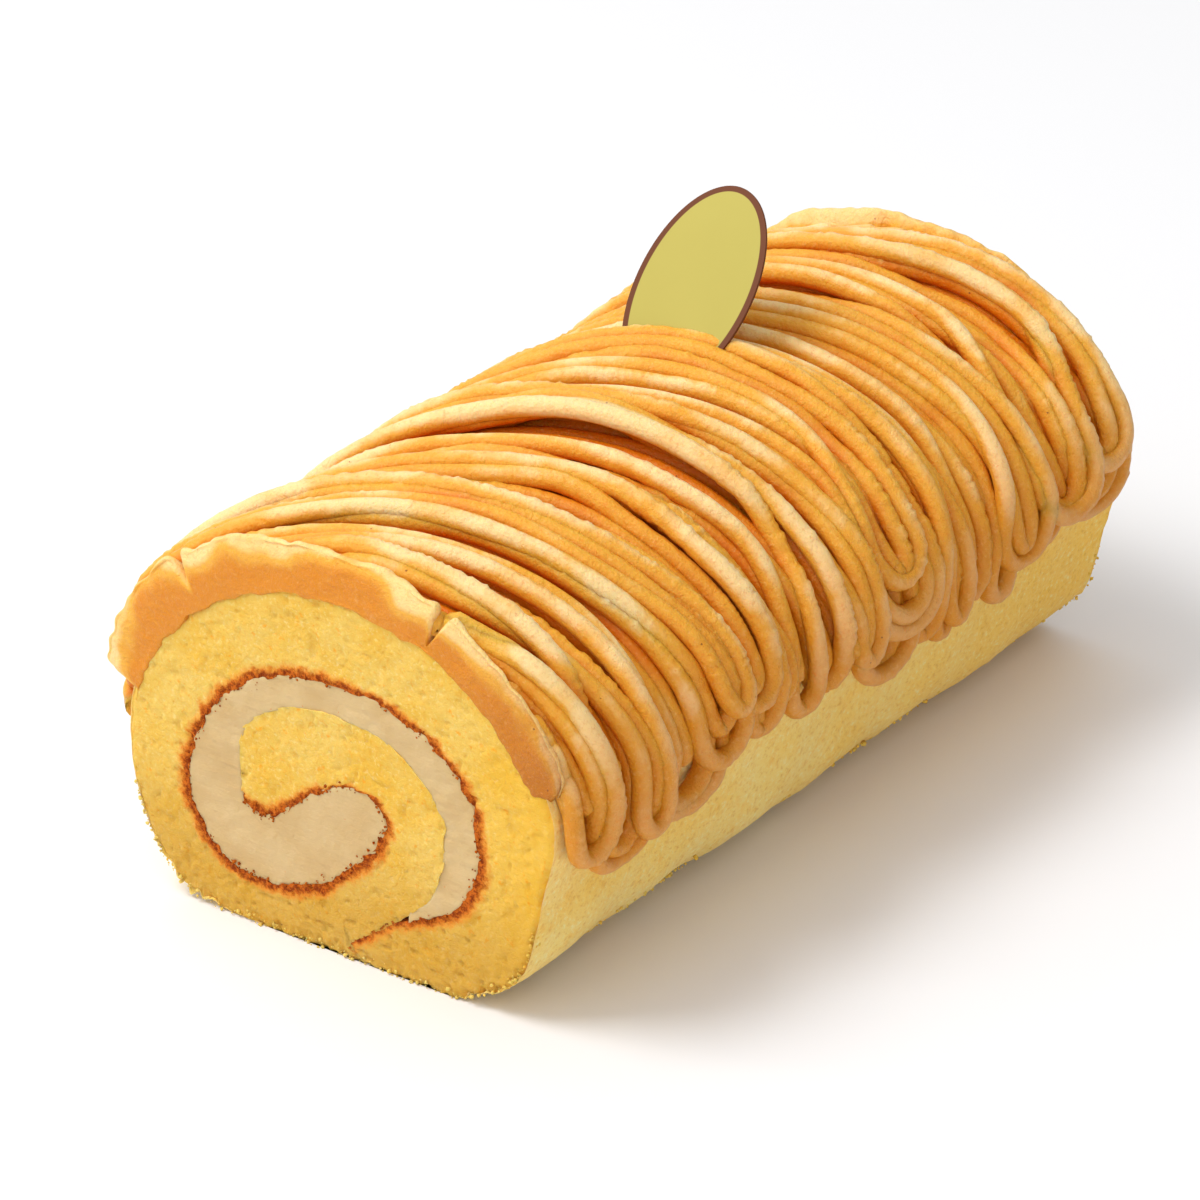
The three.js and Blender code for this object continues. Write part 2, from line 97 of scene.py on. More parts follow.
# The nozzle's turns on the near side in the order piped: x, lowest angle, half width, how far the loops of
# one turn lie inside each other (0 side by side, 1 round one middle), and how many strands show.
TURNS = [
    (72, 4, 3.2, 0.3, 1), (62, 0, 6, 0.8, 2), (64, 12, 4.6, 1, 2), (48, -4, 4.2, 0.3, 1), (52, 6, 5, 0.9, 2),
    (30, -6, 2.2, 0.2, 1), (37, -8, 2.9, 0.3, 1), (41, 1, 3, 0.9, 2), (22, -8, 2, 0.2, 2),
    (15.4, -6, 2.5, 0.4, 1), (4.3, -7, 5.5, 0.9, 2), (8.7, 5, 6.8, 1, 2), (8.7, 17, 3.4, 1, 2),
    (-3, 4, 1.7, 0.3, 2), (-10.2, -3, 2.9, 0.5, 1), (-15.5, -4, 2.6, 0.3, 1), (-22, 3, 1.7, 0.5, 1),
    (-26.5, -1, 2.2, 0.3, 1), (-29.5, 10, 2.9, 0.8, 2), (-44.7, -10, 6.9, 0.9, 2), (-38, -1, 4.1, 0.6, 1),
    (-37, 9, 1.7, 0.3, 2), (-60.2, -12, 5, 0.9, 2), (-55, -5, 2.7, 0.3, 1), (-64, 12, 1.7, 0.3, 1),
    (-68.4, -3, 3.2, 0.3, 1),
]

# Valleys where the strands drew apart: the ridge they lie on, angle, half width in mm and length in degrees.
VALLEYS = [(55.6, 62, 8, 24), (6.5, 92, 6, 22), (-32, 78, 5, 18), (-58.5, 60, 4, 18)]

# ---- Camera ----
CAMERA_AZIMUTH = -52.533
CAMERA_ELEVATION = 28.46
CAMERA_DISTANCE = 941.7
CAMERA_TARGET = (4.84, 12.9, 21.58)
CAMERA_LENS = 180.0

# ---- Surroundings ----
WORLD_BRIGHT_SIDE = (-0.25, 0.55, 0.8)
WORLD_RISE = (-0.5, 0.9, 0.16, 0.95)  # brightness from .16 where this side's share is -.5 up to .95 at .9


# ---- Small helpers ----
def smooth(v):
    """Smoothstep: 3t2 - 2t3 of v clamped to 0..1."""
    t = np.clip(v, 0.0, 1.0)
    return t * t * (3 - 2 * t)


def mix(a, b, share):
    """Straight blend from a to b."""
    return a + (b - a) * share


def uneven(n):
    """Evenly spread but irregular numbers -1..1, by steps of the golden ratio."""
    return 2 * ((n * 0.6180339887 + 0.37) % 1) - 1


def front_slice(y):
    """x of the front slice at y: a plane turned a little off square."""
    return -LENGTH / 2 - y * np.tan(np.radians(FRONT_SLICE_TURN))


def inside_slice(at_back, y, depth):
    """x of a place at y that lies at a depth behind the front slice, or before the back one."""
    return LENGTH / 2 - depth if at_back else front_slice(y) + depth


def hashed(ix, iy, iz, seed):
    """Repeatable numbers 0..1 for whole-number places, by multiplying and folding 32-bit integers."""
    h = (ix * 374761393 + iy * 668265263 + iz * 1440662683 + seed * 974634777) & 0xFFFFFFFF
    h = ((h ^ (h >> 13)) * 1274126177) & 0xFFFFFFFF
    h = ((h ^ (h >> 15)) * 2246822519) & 0xFFFFFFFF
    return (h ^ (h >> 16)) / 4294967296.0


def noise(points, size, seed=0):
    """Smooth random field -1..1 with bumps size mm across: hashed numbers on a cubic lattice, blended."""
    p = np.asarray(points, float) / size
    cell = np.floor(p).astype(np.int64)
    f = smooth(p - cell)
    total = 0.0
    for z, y, x in np.ndindex(2, 2, 2):
        weight = np.prod(np.where((x, y, z), f, 1 - f), axis=-1)
        total = total + weight * hashed(*np.moveaxis(cell + (x, y, z), -1, 0), seed)
    return 2 * total - 1


def noise_at(x, y, size, seed=0):
    """The same field on a plane."""
    x, y = np.broadcast_arrays(x, y)
    return noise(np.stack([x, y, np.zeros_like(x, dtype=float)], -1), size, seed)


def curve_at(rows, t):
    """Uniform Catmull-Rom curve through the rows, at places t counted in rows, its ends held."""
    p = np.array(rows, float)
    last = len(p) - 1
    i = np.clip(np.floor(t).astype(int), 0, last - 1)
    f = (t - i)[:, None]
    a, b, c, d = p[np.maximum(i - 1, 0)], p[i], p[i + 1], p[np.minimum(i + 2, last)]
    v0, v1 = (c - a) / 2, (d - b) / 2
    return ((2 * b - 2 * c + v0 + v1) * f + (-3 * b + 3 * c - 2 * v0 - v1)) * f * f + v0 * f + b


def evenly(line, count, weight=1.0):
    """Shares 0..1 of a polyline at which points lie evenly along it, or closer where it has more weight."""
    steps = np.linalg.norm(np.diff(line, axis=0), axis=1) * np.broadcast_to(weight, len(line))[1:]
    length = np.concatenate([[0], np.cumsum(steps)])
    return np.interp(np.linspace(0, length[-1], count), length, np.linspace(0, 1, len(line)))


def outward(rail):
    """Unit normals to the left of a line in the (y, z) plane."""
    t = np.gradient(rail, axis=0)
    t /= np.maximum(np.linalg.norm(t, axis=1), 1e-9)[:, None]
    return np.stack([-t[:, 1], t[:, 0]], 1)


# ---- Meshes ----
def signed_volume(points, faces):
    """Six times the volume inside the quads."""
    a, b, c, d = (points[faces[:, k]] for k in range(4))
    return np.sum(np.einsum("ij,ij->i", a, np.cross(b, c)) + np.einsum("ij,ij->i", a, np.cross(c, d)))


def make_piece(name, points, faces, caps=(), attributes=None, sharp=180.0):
    """A mesh object from points in mm, an array of quads and a few cap outlines, turned to face outwards."""
    if signed_volume(points, faces) < 0:
        faces = faces[:, ::-1]
        caps = [cap[::-1] for cap in caps]
    mesh = bpy.data.meshes.new(name)
    mesh.from_pydata((points * MM).tolist(), [], faces.tolist() + [cap.tolist() for cap in caps])
    mesh.shade_smooth()
    for key, values in (attributes or {}).items():
        layer = mesh.attributes.new(key, "FLOAT", "POINT")
        layer.data.foreach_set("value", np.asarray(values, np.float32).ravel())
    mesh.validate()
    if sharp < 180:
        mesh.set_sharp_from_angle(angle=np.radians(sharp))
    piece = bpy.data.objects.new(name, mesh)
    bpy.context.scene.collection.objects.link(piece)
    return piece


def ring_faces(rows, columns):
    """Quads of a grid of rows x columns whose columns close on themselves."""
    point = np.arange(rows * columns).reshape(rows, columns)
    beside = np.roll(point, -1, axis=1)
    return np.stack([point[:-1], beside[:-1], beside[1:], point[1:]], -1).reshape(-1, 4)


def wrapped_piece(name, grid, attributes=None, sharp=180.0):
    """A closed body from a grid whose columns run round it and whose rows run along it, with flat ends."""
    rows, columns = grid.shape[:2]
    caps = [np.arange(columns)[::-1], (rows - 1) * columns + np.arange(columns)]
    return make_piece(name, grid.reshape(-1, 3), ring_faces(rows, columns), caps, attributes, sharp)


def finished(piece, *materials):
    """The piece with its materials."""
    for material in materials:
        piece.data.materials.append(material)
    return piece


# ---- Materials ----
FLECKS_PER_METRE = 330.0  # places for them, of which about a fifth are taken
# Chestnut cream colours in order: painted highlight on the crests, the paste's own colour, painted shade in
# the gaps, painted shade low on the near side
COAT_COLOURS = (252, 212, 140), (240, 176, 62), (224, 140, 30), (172, 96, 12)
STRAND_COLOURS = (254, 214, 150), (237, 171, 56), (222, 118, 4), (208, 132, 22)


def shade(red, green, blue):
    """A colour given by its 0-255 screen values, as the linear values that shaders take."""
    c = np.array([red, green, blue]) / 255
    linear = np.where(c <= 0.04045, c / 12.92, ((c + 0.055) / 1.055) ** 2.4)
    return (*linear.tolist(), 1.0)


def add_node(tree, kind, inputs=None, **settings):
    """A node with its settings, its inputs given as values or as other nodes' outputs."""
    node = tree.nodes.new(kind)
    for key, value in settings.items():
        setattr(node, key, value)
    for key, value in (inputs or {}).items():
        if isinstance(value, bpy.types.NodeSocket):
            tree.links.new(value, node.inputs[key])
        else:
            node.inputs[key].default_value = value
    return node


class Finish:
    """A material with short ways to add nodes. Light enters a share of its surface, by a depth in mm times
    the radius of each colour."""

    def __init__(self, name, share=0.0, depth=1.0, radius=(1.0, 1.0, 1.0), **principled):
        self.material = bpy.data.materials.new(name)
        self.material.use_nodes = True
        self.tree = self.material.node_tree
        self.shader = self.tree.nodes["Principled BSDF"]
        if share:
            principled.update(Subsurface_Weight=share, Subsurface_Scale=depth * MM, Subsurface_Radius=radius)
        for key, value in principled.items():
            self.shader.inputs[key.replace("_", " ")].default_value = value
        self.place = self.add("ShaderNodeTexCoord").outputs["Object"]

    def add(self, kind, inputs=None, **settings):
        """A node of this material."""
        return add_node(self.tree, kind, inputs, **settings)

    def axis(self, name):
        """Place along X, Y or Z in metres."""
        return self.add("ShaderNodeSeparateXYZ", {"Vector": self.place}).outputs[name]

    def clouds(self, size, detail=2.0, roughness=0.5, stretch=(1, 1, 1), seed=0.0):
        """Noise with blotches of the given size in mm, 0..1, drawn out along an axis by stretch."""
        scale = tuple(1 / s for s in stretch)
        inputs = {"Vector": self.place, "Location": (seed, seed * 0.7, 0), "Scale": scale}
        mapped = self.add("ShaderNodeMapping", inputs).outputs["Vector"]
        inputs = {"Vector": mapped, "Scale": 1 / (size * MM), "Detail": detail, "Roughness": roughness}
        return self.add("ShaderNodeTexNoise", inputs).outputs["Fac"]

    def attribute(self, name):
        """A number that the mesh carries at each point."""
        return self.add("ShaderNodeAttribute", attribute_name=name).outputs["Fac"]

    def math(self, operation, a, b):
        """One arithmetic step."""
        return self.add("ShaderNodeMath", {0: a, 1: b}, operation=operation).outputs[0]

    def between(self, value, low, high):
        """Value rising smoothly from 0 at low to 1 at high."""
        inputs = {"Value": value, "From Min": low, "From Max": high, "To Min": 0.0, "To Max": 1.0}
        return self.add("ShaderNodeMapRange", inputs, interpolation_type="SMOOTHSTEP").outputs["Result"]

    def blend(self, share, first, second):
        """Colour mix, from first at share 0 to second at 1."""
        return self.add("ShaderNodeMix", {0: share, 6: first, 7: second}, data_type="RGBA").outputs[2]

    def tint(self, base, value, low, high, share, colour):
        """The base colour with up to a share of another where value goes from low to high."""
        return self.blend(self.math("MULTIPLY", self.between(value, low, high), share), base, colour)

    def bump(self, height, distance, strength=1.0, under=None):
        """Surface unevenness from a 0..1 height, distance in mm."""
        inputs = {"Height": height, "Distance": distance * MM, "Strength": strength}
        if under is not None:
            inputs["Normal"] = under
        return self.add("ShaderNodeBump", inputs).outputs["Normal"]

    def done(self, colour, normal):
        """The material with its colour and unevenness."""
        self.tree.links.new(colour, self.shader.inputs["Base Color"])
        self.tree.links.new(normal, self.shader.inputs["Normal"])
        return self.material


def sponge_crumb(name, light, deep, painted_low_shade):
    """Cut sponge: soft yellow with fine pores and orange flecks, painted shade low down, and a browned edge.
    """
    f = Finish(name, 0.3, 1.2, (1.0, 0.6, 0.2), Roughness=0.95, Specular_IOR_Level=0.15)
    yellow = f.blend(f.between(f.clouds(9, 3), 0.35, 0.7), light, deep)
    grain = f.clouds(0.7, 4, 0.7)
    yellow = f.tint(yellow, grain, 0.52, 0.74, 0.55, shade(236, 160, 40))
    yellow = f.tint(yellow, grain, 0.48, 0.3, 0.5, shade(255, 232, 158))
    yellow = f.tint(yellow, f.axis("Y"), -0.02, -0.036, 0.55, shade(246, 188, 50))
    yellow = f.tint(yellow, f.clouds(1.6, 4, 0.65, seed=3.1), 0.6, 0.7, 0.6, shade(250, 160, 24))
    # painted shade: the face darkens towards its lower edge
    yellow = f.tint(yellow, f.axis("Z"), 0.028, 0.006, painted_low_shade, shade(200, 146, 52))
    wobble = f.math("MULTIPLY", f.math("SUBTRACT", f.clouds(1.8, 5, 0.75, seed=1.7), 0.5), 3.6)
    depth = f.math("ADD", f.attribute("browned"), wobble)
    halo = f.blend(f.between(depth, 1.2, 3.0), shade(236, 142, 46), yellow)
    spots = f.between(f.clouds(0.7, 4, 0.75, seed=5.0), 0.38, 0.6)
    dark = f.blend(spots, shade(212, 108, 28), shade(136, 52, 6))
    soft = f.bump(f.clouds(2.2, 3), 0.6, 0.5)
    return f.done(f.blend(f.between(depth, 0.8, 2.0), dark, halo), f.bump(grain, 0.6, 0.9, soft))


def sponge_skin():
    """Outside of the sponge: paler, close and suede-like, with faint blotches, and painted shade towards the
    back end.
    """
    f = Finish("sponge_skin", 0.3, 1.4, (1.0, 0.65, 0.25), Roughness=0.95, Specular_IOR_Level=0.12)
    f.shader.inputs["Sheen Weight"].default_value = 0.15
    base = f.blend(f.between(f.clouds(12, 3), 0.35, 0.7), shade(255, 220, 126), shade(255, 208, 98))
    # painted shade: darker and more orange towards the back end
    base = f.tint(base, f.axis("X"), -0.02, 0.07, 0.8, shade(255, 198, 74))
    base = f.tint(base, f.clouds(2.4, 4, 0.6), 0.5, 0.8, 0.6, shade(250, 184, 60))
    grain = f.clouds(0.9, 4, 0.7, seed=2.0)
    base = f.tint(base, grain, 0.52, 0.7, 0.55, shade(226, 158, 48))
    base = f.tint(base, grain, 0.48, 0.3, 0.6, shade(255, 240, 172))
    return f.done(base, f.bump(grain, 0.5, 0.8, f.bump(f.clouds(3, 2), 0.6, 0.4)))


def filling_cream():
    """Smooth beige cream with faint knife drags and a few orange crumbs."""
    f = Finish("filling_cream", 0.4, 2.0, (1.0, 0.7, 0.4), Roughness=0.55, Specular_IOR_Level=0.3)
    base = f.blend(f.between(f.clouds(7, 3), 0.3, 0.7), shade(212, 182, 130), shade(204, 170, 115))
    crumbs = f.between(f.clouds(0.9, 2, 0.5, seed=7.3), 0.77, 0.8)
    drags = f.clouds(0.5, 2, 0.5, stretch=(1, 14, 1))
    rough = f.bump(f.clouds(0.6, 3, 0.65), 0.2, 0.7, f.bump(drags, 0.14, 0.5))
    return f.done(f.blend(crumbs, base, shade(214, 130, 60)), f.bump(f.clouds(1.7, 3), 0.5, 0.5, rough))


def chestnut_paste(name, colours, painted_shade_top, grain):
    """Chestnut cream: tan and a little grainy, with dark flecks. Its colours are a painted highlight for the
    crests, its own colour for the rest, painted shade for the gaps and painted shade for the lowest near
    side."""
    painted_highlight, light, deep, low = (shade(*colour) for colour in colours)
    f = Finish(name, 0.42, 2.0, (1.0, 0.58, 0.24), Roughness=0.4, Specular_IOR_Level=0.28)
    blotches = f.between(f.clouds(11, 3, 0.55), 0.3, 0.7)
    # painted light: paler where the cream stands high, painted shade where it lies low, with random blotches
    painted_light = f.math("ADD", f.attribute("painted_light"), f.math("MULTIPLY", f.math("SUBTRACT", blotches, 0.5), 0.3))
    base = f.blend(f.between(painted_light, 0.05, 0.75), deep, light)
    # painted highlight on the crests
    base = f.blend(f.between(painted_light, 0.7, 1.05), base, painted_highlight)
    height = f.math("ADD", f.axis("Z"), f.math("MULTIPLY", f.axis("Y"), 0.5))
    # painted shade, deeper low down and towards the near side
    base = f.tint(base, height, painted_shade_top, 0.0085, 0.8, low)
    sand = f.clouds(0.8, 3, 0.7, seed=6.1)
    base = f.tint(base, sand, 0.52, 0.72, 0.3, deep)
    base = f.tint(base, sand, 0.46, 0.28, 0.18, painted_highlight)
    base = f.tint(base, f.clouds(0.7, 2, 0.6, seed=4.4), 0.68, 0.74, 0.4, deep)
    cells = f.add("ShaderNodeTexVoronoi", {"Vector": f.place, "Scale": FLECKS_PER_METRE}).outputs
    number = f.add("ShaderNodeSeparateColor", {"Color": cells["Color"]}).outputs[0]
    distance = f.math("ADD", cells["Distance"], f.math("MULTIPLY", f.clouds(0.3), 0.06))
    flecks = f.math("MULTIPLY", f.between(number, 0.76, 0.8), f.between(distance, 0.1, 0.07))
    base = f.blend(f.math("MULTIPLY", flecks, 0.8), base, shade(136, 66, 26))
    return f.done(base, f.bump(f.clouds(0.7, 3, 0.7), grain, 0.9, f.bump(f.clouds(1.5, 3, 0.6), grain, 0.6)))


def tag_card():
    """Printed card: a plain yellow-green field inside a brown border, lightly coated."""
    f = Finish("tag_card", Roughness=0.5, Specular_IOR_Level=0.2)
    field = f.blend(f.clouds(14, 2), shade(184, 172, 82), shade(178, 165, 76))
    edge = f.between(f.attribute("from_edge"), TAG_BORDER - 0.06, TAG_BORDER + 0.06)
    return f.done(f.blend(edge, shade(104, 52, 16), field), f.bump(f.clouds(0.8, 2), 0.02, 0.3))


# ---- The sponge ----
SHEET_STEPS = 600  # points along the sheet, and across it on each slice
FACE_STEPS = 36
SKIN_REACH = 14.0  # place along the sheet where the skin turns in at the seam
TONGUE_START = 15.0
SHEET_END = 22.0
FACING = ((0, 3, 13, 16, SHEET_END), (0, 4, 14, 16, 22))  # places along the pale and the browned face
NEAR_SLICES = (0.5, 1.0, 1.6, 2.4, 3.4, 4.6, 6.0)  # mm of the skin's first points from a slice


def pale_rail(s):
    """The sheet's pale face in section at places s along it: the skin, the step in, the frayed tongue."""
    skin = np.maximum(curve_at(SKIN, np.clip(s, 0, SKIN_REACH)), (-99, 0))
    tongue = curve_at(TONGUE, np.clip(s - TONGUE_START, 0, SHEET_END - TONGUE_START))
    y, z = tongue.T
    frayed = (0.26 * noise_at(y, z, 2.4, 9) + 0.2 * noise_at(y, z, 0.9, 10)) * smooth((z - 4) / 4)
    return mix(skin, tongue + frayed[:, None] * outward(tongue), np.clip(s - SKIN_REACH, 0, 1)[:, None])


def browned_at(t):
    """The browned face at places t along it, uneven where it crumbled."""
    line = curve_at(BROWNED, t)
    y, z = line.T
    rough = (0.4 * noise_at(y, z, 3.0, 7) + 0.32 * noise_at(y, z, 1.0, 8)) * smooth(z / 4)
    return line + rough[:, None] * outward(line)


def skin_relief(x, y, z, s):
    """Unevenness of the skin: waves, suede, and torn crumbs at the slices' lower edges; the base is flat."""
    waves = 0.3 * np.sin(0.11 * x + 1.5 * s) + 0.2 * np.sin(0.29 * x - 2.7 * s)
    points = np.stack(np.broadcast_arrays(x, y, z), -1)
    suede = 0.12 * noise(points, 1.6, 3) + 0.2 * noise(points, 5, 4)
    low = smooth((11 - z) / 7)
    near_slice = smooth((np.abs(x) - LENGTH / 2 + 3.5) / 3.5)
    torn = low * near_slice * (1.3 * noise(points, 1.3, 5) - 0.2)
    ragged = smooth((5 - z) / 3) * 0.7 * noise(points, 1.1, 6)
    return (waves + suede) * smooth(z / 3) + (torn + ragged) * smooth(z / 0.8)


def face_relief(y, z, u, at_skin, seed):
    """How far a sliced face lies behind its plane: crumb, pits, and a rounded edge, torn low down."""
    crumb = 0.24 + 0.14 * noise_at(y, z, 0.9, seed) + 0.12 * noise_at(y, z, 2.7, seed + 1)
    pits = 0.35 * smooth((noise_at(y, z, 1.1, seed + 2) - 0.5) / 0.3)
    rounded = 0.5 * smooth((u - 0.93) / 0.07) * smooth(z / 4) * at_skin
    low = at_skin * smooth((9 - z) / 6)
    torn = low * smooth((u - 0.5) / 0.45) * 0.6 * np.abs(noise_at(y, z, 1.5, seed + 3))
    ragged = low * smooth((u - 0.9) / 0.1) * 0.5 * np.abs(noise_at(y, z, 0.7, seed + 4))
    return np.maximum(crumb + pits + rounded + torn + ragged, 0.02)


def make_sponge():
    """The rolled sheet as one closed grid. Its rows run along the sheet; its columns run round it: across
    the front slice from the browned face to the pale one, along the skin, and back across the other slice."""
    fine = np.linspace(0, SHEET_END, 4000)
    rail = pale_rail(fine)
    s = SHEET_END * evenly(rail, SHEET_STEPS, 1 + 1.2 * (fine < SKIN_REACH) * smooth((10 - rail[:, 1]) / 5))
    pale, browned = pale_rail(s), browned_at(np.interp(s, *FACING))
    y, z, normal = pale[:, :1], pale[:, 1:], outward(pale)
    near = np.array(NEAR_SLICES) / LENGTH
    between = np.linspace(7.8 / LENGTH, 1 - 7.8 / LENGTH, 52)
    stations = np.concatenate([near, between, 1 - near[::-1]])[None, :]
    on_skin = (s <= SKIN_REACH)[:, None]

    def grown(x):
        relief = skin_relief(x, y, z, s[:, None]) * on_skin
        return np.maximum(pale[:, None] + normal[:, None] * relief[..., None], (-99, 0))

    skin_x = mix(front_slice(y), LENGTH / 2, stations)
    skin = np.concatenate([skin_x[..., None], grown(skin_x)], -1)
    u = np.linspace(0, 1, FACE_STEPS)[None, :, None]
    faces = []
    for at_back, seed in ((False, 11), (True, 21)):
        spread = (grown(inside_slice(at_back, y, 0 * y)) - pale[:, None]) * smooth((u - 0.75) / 0.25)
        yz = mix(browned[:, None], pale[:, None], u) + spread
        recess = face_relief(yz[..., 0], yz[..., 1], u[..., 0], on_skin, seed)
        x = inside_slice(at_back, yz[..., 0], recess)
        faces.append(np.concatenate([x[..., None], yz], -1))
    grid = np.concatenate([faces[0], skin, faces[1][:, ::-1]], 1)
    share = np.concatenate([u[0, :, 0], np.ones(stations.size), u[0, ::-1, 0]])
    thickness = np.linalg.norm(pale - browned, axis=1)
    depth = thickness[:, None] * share + 0.8 * (1 - smooth(s / 2.2))[:, None]
    piece = wrapped_piece("sponge_roll", grid, {"browned": depth}, sharp=60)
    crumb = sponge_crumb("sponge_crumb", shade(243, 203, 102), shade(240, 190, 74), 0.55)
    finished(piece, crumb, sponge_skin())
    column = np.tile(np.arange(share.size), SHEET_STEPS - 1)
    first, last = FACE_STEPS - 1, FACE_STEPS + stations.size - 1
    index = np.zeros(len(piece.data.polygons), np.int32)
    index[: len(column)] = (column >= first) & (column <= last)
    piece.data.polygons.foreach_set("material_index", index)
    return piece


def crumb_piece(name, places, sizes, browned):
    """Crumbs at given places in one mesh: each is four uneven rings of six points round a centre."""
    n = np.arange(len(places))[:, None, None]
    ring, point = np.arange(4)[None, :, None], np.arange(6)[None, None, :]
    turn = np.pi / 3 * point + 2.4 * n
    reach = np.array([0.45, 1.0, 0.95, 0.5])[None, :, None] * (0.55 + 0.9 * hashed(n, ring, point, 91))
    level = np.array([-0.8, -0.3, 0.35, 0.8])[None, :, None] * (0.6 + 0.8 * hashed(n, ring, point, 92))
    lump = np.stack(np.broadcast_arrays(reach * np.cos(turn), reach * np.sin(turn), level), -1)
    tilt = 2 * np.pi * hashed(n[..., 0, 0], 0, 0, 93)[:, None, None]
    x = lump[..., 0] * np.cos(tilt) - lump[..., 2] * np.sin(tilt)
    z = lump[..., 0] * np.sin(tilt) + lump[..., 2] * np.cos(tilt)
    points = np.stack([x, lump[..., 1], z], -1) * sizes[:, None, None, None] + places[:, None, None]
    starts = 24 * np.arange(len(places))
    faces = (ring_faces(4, 6)[None] + starts[:, None, None]).reshape(-1, 4)
    caps = [start + np.arange(6)[::-1] for start in starts] + [start + 18 + np.arange(6) for start in starts]
    points = np.maximum(points.reshape(-1, 3), (-99, -99, 0.02))
    piece = make_piece(name, points, faces, caps, {"browned": np.full(len(points), browned)})
    return finished(piece, sponge_crumb(name, shade(248, 214, 120), shade(244, 202, 96), 0.0))


def edge_crumbs():
    """Pale crumbs that cling to the lower edges: of both slices, and along both sides of the roll."""
    s = np.concatenate([np.linspace(0, 2.6, 1200), np.linspace(10.8, SKIN_REACH, 1200)])
    rail = pale_rail(s)
    steps = np.linalg.norm(np.diff(rail, axis=0), axis=1)
    length = np.concatenate([[0], np.cumsum(np.where(steps > 5, 0, steps))])
    places, sizes = [], []
    for at_back, count in ((0, 480), (1, 240)):
        along, depth, up, size = (hashed(np.arange(count), k, at_back, 94) for k in range(1, 5))
        y, z = (np.interp(length[-1] * along, length, rail[:, axis]) for axis in range(2))
        x = inside_slice(at_back, y, 0.1 + 2.2 * depth**2)
        places.append(np.stack([x, y, z + 1.6 * up**2], 1))
        sizes.append(0.1 + 0.26 * size**3)
    for side, count, foot, top in ((0, 900, 1.1, 2.0), (1, 260, 12.1, 11.4)):
        up, along, size = (hashed(np.arange(count), k, side, 95) for k in range(5, 8))
        yz = pale_rail(np.linspace(foot, top, 200))[(199 * up**1.6).astype(int)]
        places.append(np.column_stack([(LENGTH - 3) * (along - 0.5), yz + (0, 0.15)]))
        sizes.append(0.12 + 0.34 * size**3)
    return crumb_piece("edge_crumbs", np.concatenate(places), np.concatenate(sizes), 9.0)


def browned_crumbs():
    """Dark grains along the browned line at both slices, on its cream side."""
    places, sizes = [], []
    for at_back, count in ((0, 300), (1, 160)):
        along, across, size = (hashed(np.arange(count), k, at_back, 96) for k in range(8, 11))
        t = 1.5 + (SHEET_END - 1.5) * along
        yz = browned_at(t) + (0.9 - 1.3 * across)[:, None] * outward(curve_at(BROWNED, t))
        places.append(np.column_stack([inside_slice(at_back, yz[:, 0], 0.22 + 0 * t), yz]))
        sizes.append(0.1 + 0.2 * size**3)
    return crumb_piece("browned_crumbs", np.concatenate(places), np.concatenate(sizes), 0.3)


# ---- The filling ----
def make_filling():
    """Cream between the browned face and the tongue, as one closed grid. Its rows run from the seam to the
    pocket's end; its columns run across the front slice and back across the other one. Its rims reach a
    little into the sponge, so that no gap shows."""
    rows, across_steps, reach = 420, 21, 0.7
    t = np.linspace(SEAM_TOP, POCKET_END, 3000)
    t = mix(SEAM_TOP, POCKET_END, evenly(curve_at(BROWNED, t), rows))
    outer = browned_at(t) + reach * outward(curve_at(BROWNED, t))
    tongue = curve_at(TONGUE, np.linspace(SEAM_TOP, 7, 1500))
    inner = np.concatenate([tongue, curve_at(BROWNED, np.linspace(22, POCKET_END, 900))])
    share = evenly(inner, rows) * (len(inner) - 1)
    inner = np.stack([np.interp(share, np.arange(len(inner)), inner[:, k]) for k in range(2)], 1)
    inner = inner - reach * outward(inner)
    width = np.linalg.norm(outer - inner, axis=1)[:, None]
    u = np.linspace(0, 1, across_steps)[None, :]
    u = u - 0.09 * np.sin(2 * np.pi * u)
    yz = mix(outer[:, None], inner[:, None], u[..., None])
    y, z = yz[..., 0], yz[..., 1]
    rim = smooth(np.minimum(u, 1 - u) * width / 0.65)
    sides = []
    for at_back, seed in ((False, 31), (True, 41)):
        drag = 0.1 * noise_at(0.25 * y, 1.6 * z, 1.2, seed)
        lumps = 0.16 * noise_at(y, z, 3.2, seed + 1) + 0.08 * noise_at(y, z, 1.1, seed + 2)
        x = inside_slice(at_back, y, 1.5 - 1.22 * rim + drag + lumps)
        sides.append(np.concatenate([x[..., None], yz], -1))
    grid = np.concatenate([sides[0], sides[1][:, ::-1]], 1)
    return finished(wrapped_piece("cream_swirl", grid, sharp=60), filling_cream())


# ---- The topping ----
ROUND = HALF_WIDTH * np.radians(1)  # mm along the surface for one degree round the roll


def place(x, angle, height):
    """A point of the topping: angle round the roll (0 level with its middle on the near side, 90 on top) and
    height above the sponge."""
    a = np.radians(angle)
    y = -(HALF_WIDTH + height) * np.cos(a)
    z = HALF_HEIGHT + (HALF_HEIGHT + height) * np.sin(a)
    return np.stack(np.broadcast_arrays(x, y, z), -1)


def under_skin(height, skin, angle):
    """Heights let in under the sponge's skin at the topping's two lower edges."""
    return mix(skin - 0.8, height, smooth((np.minimum(angle, 180 - angle) - COAT_EDGE + 2) / 4))


def coat_thickness(angle):
    """Cream under the strands, thicker on top and thinning to nothing at both lower edges."""
    from_edge = np.minimum(angle, 180 - angle) - COAT_EDGE
    return mix(COAT_SIDE, COAT_TOP, np.sin(np.radians(angle))) * smooth((from_edge + 4) / 8)


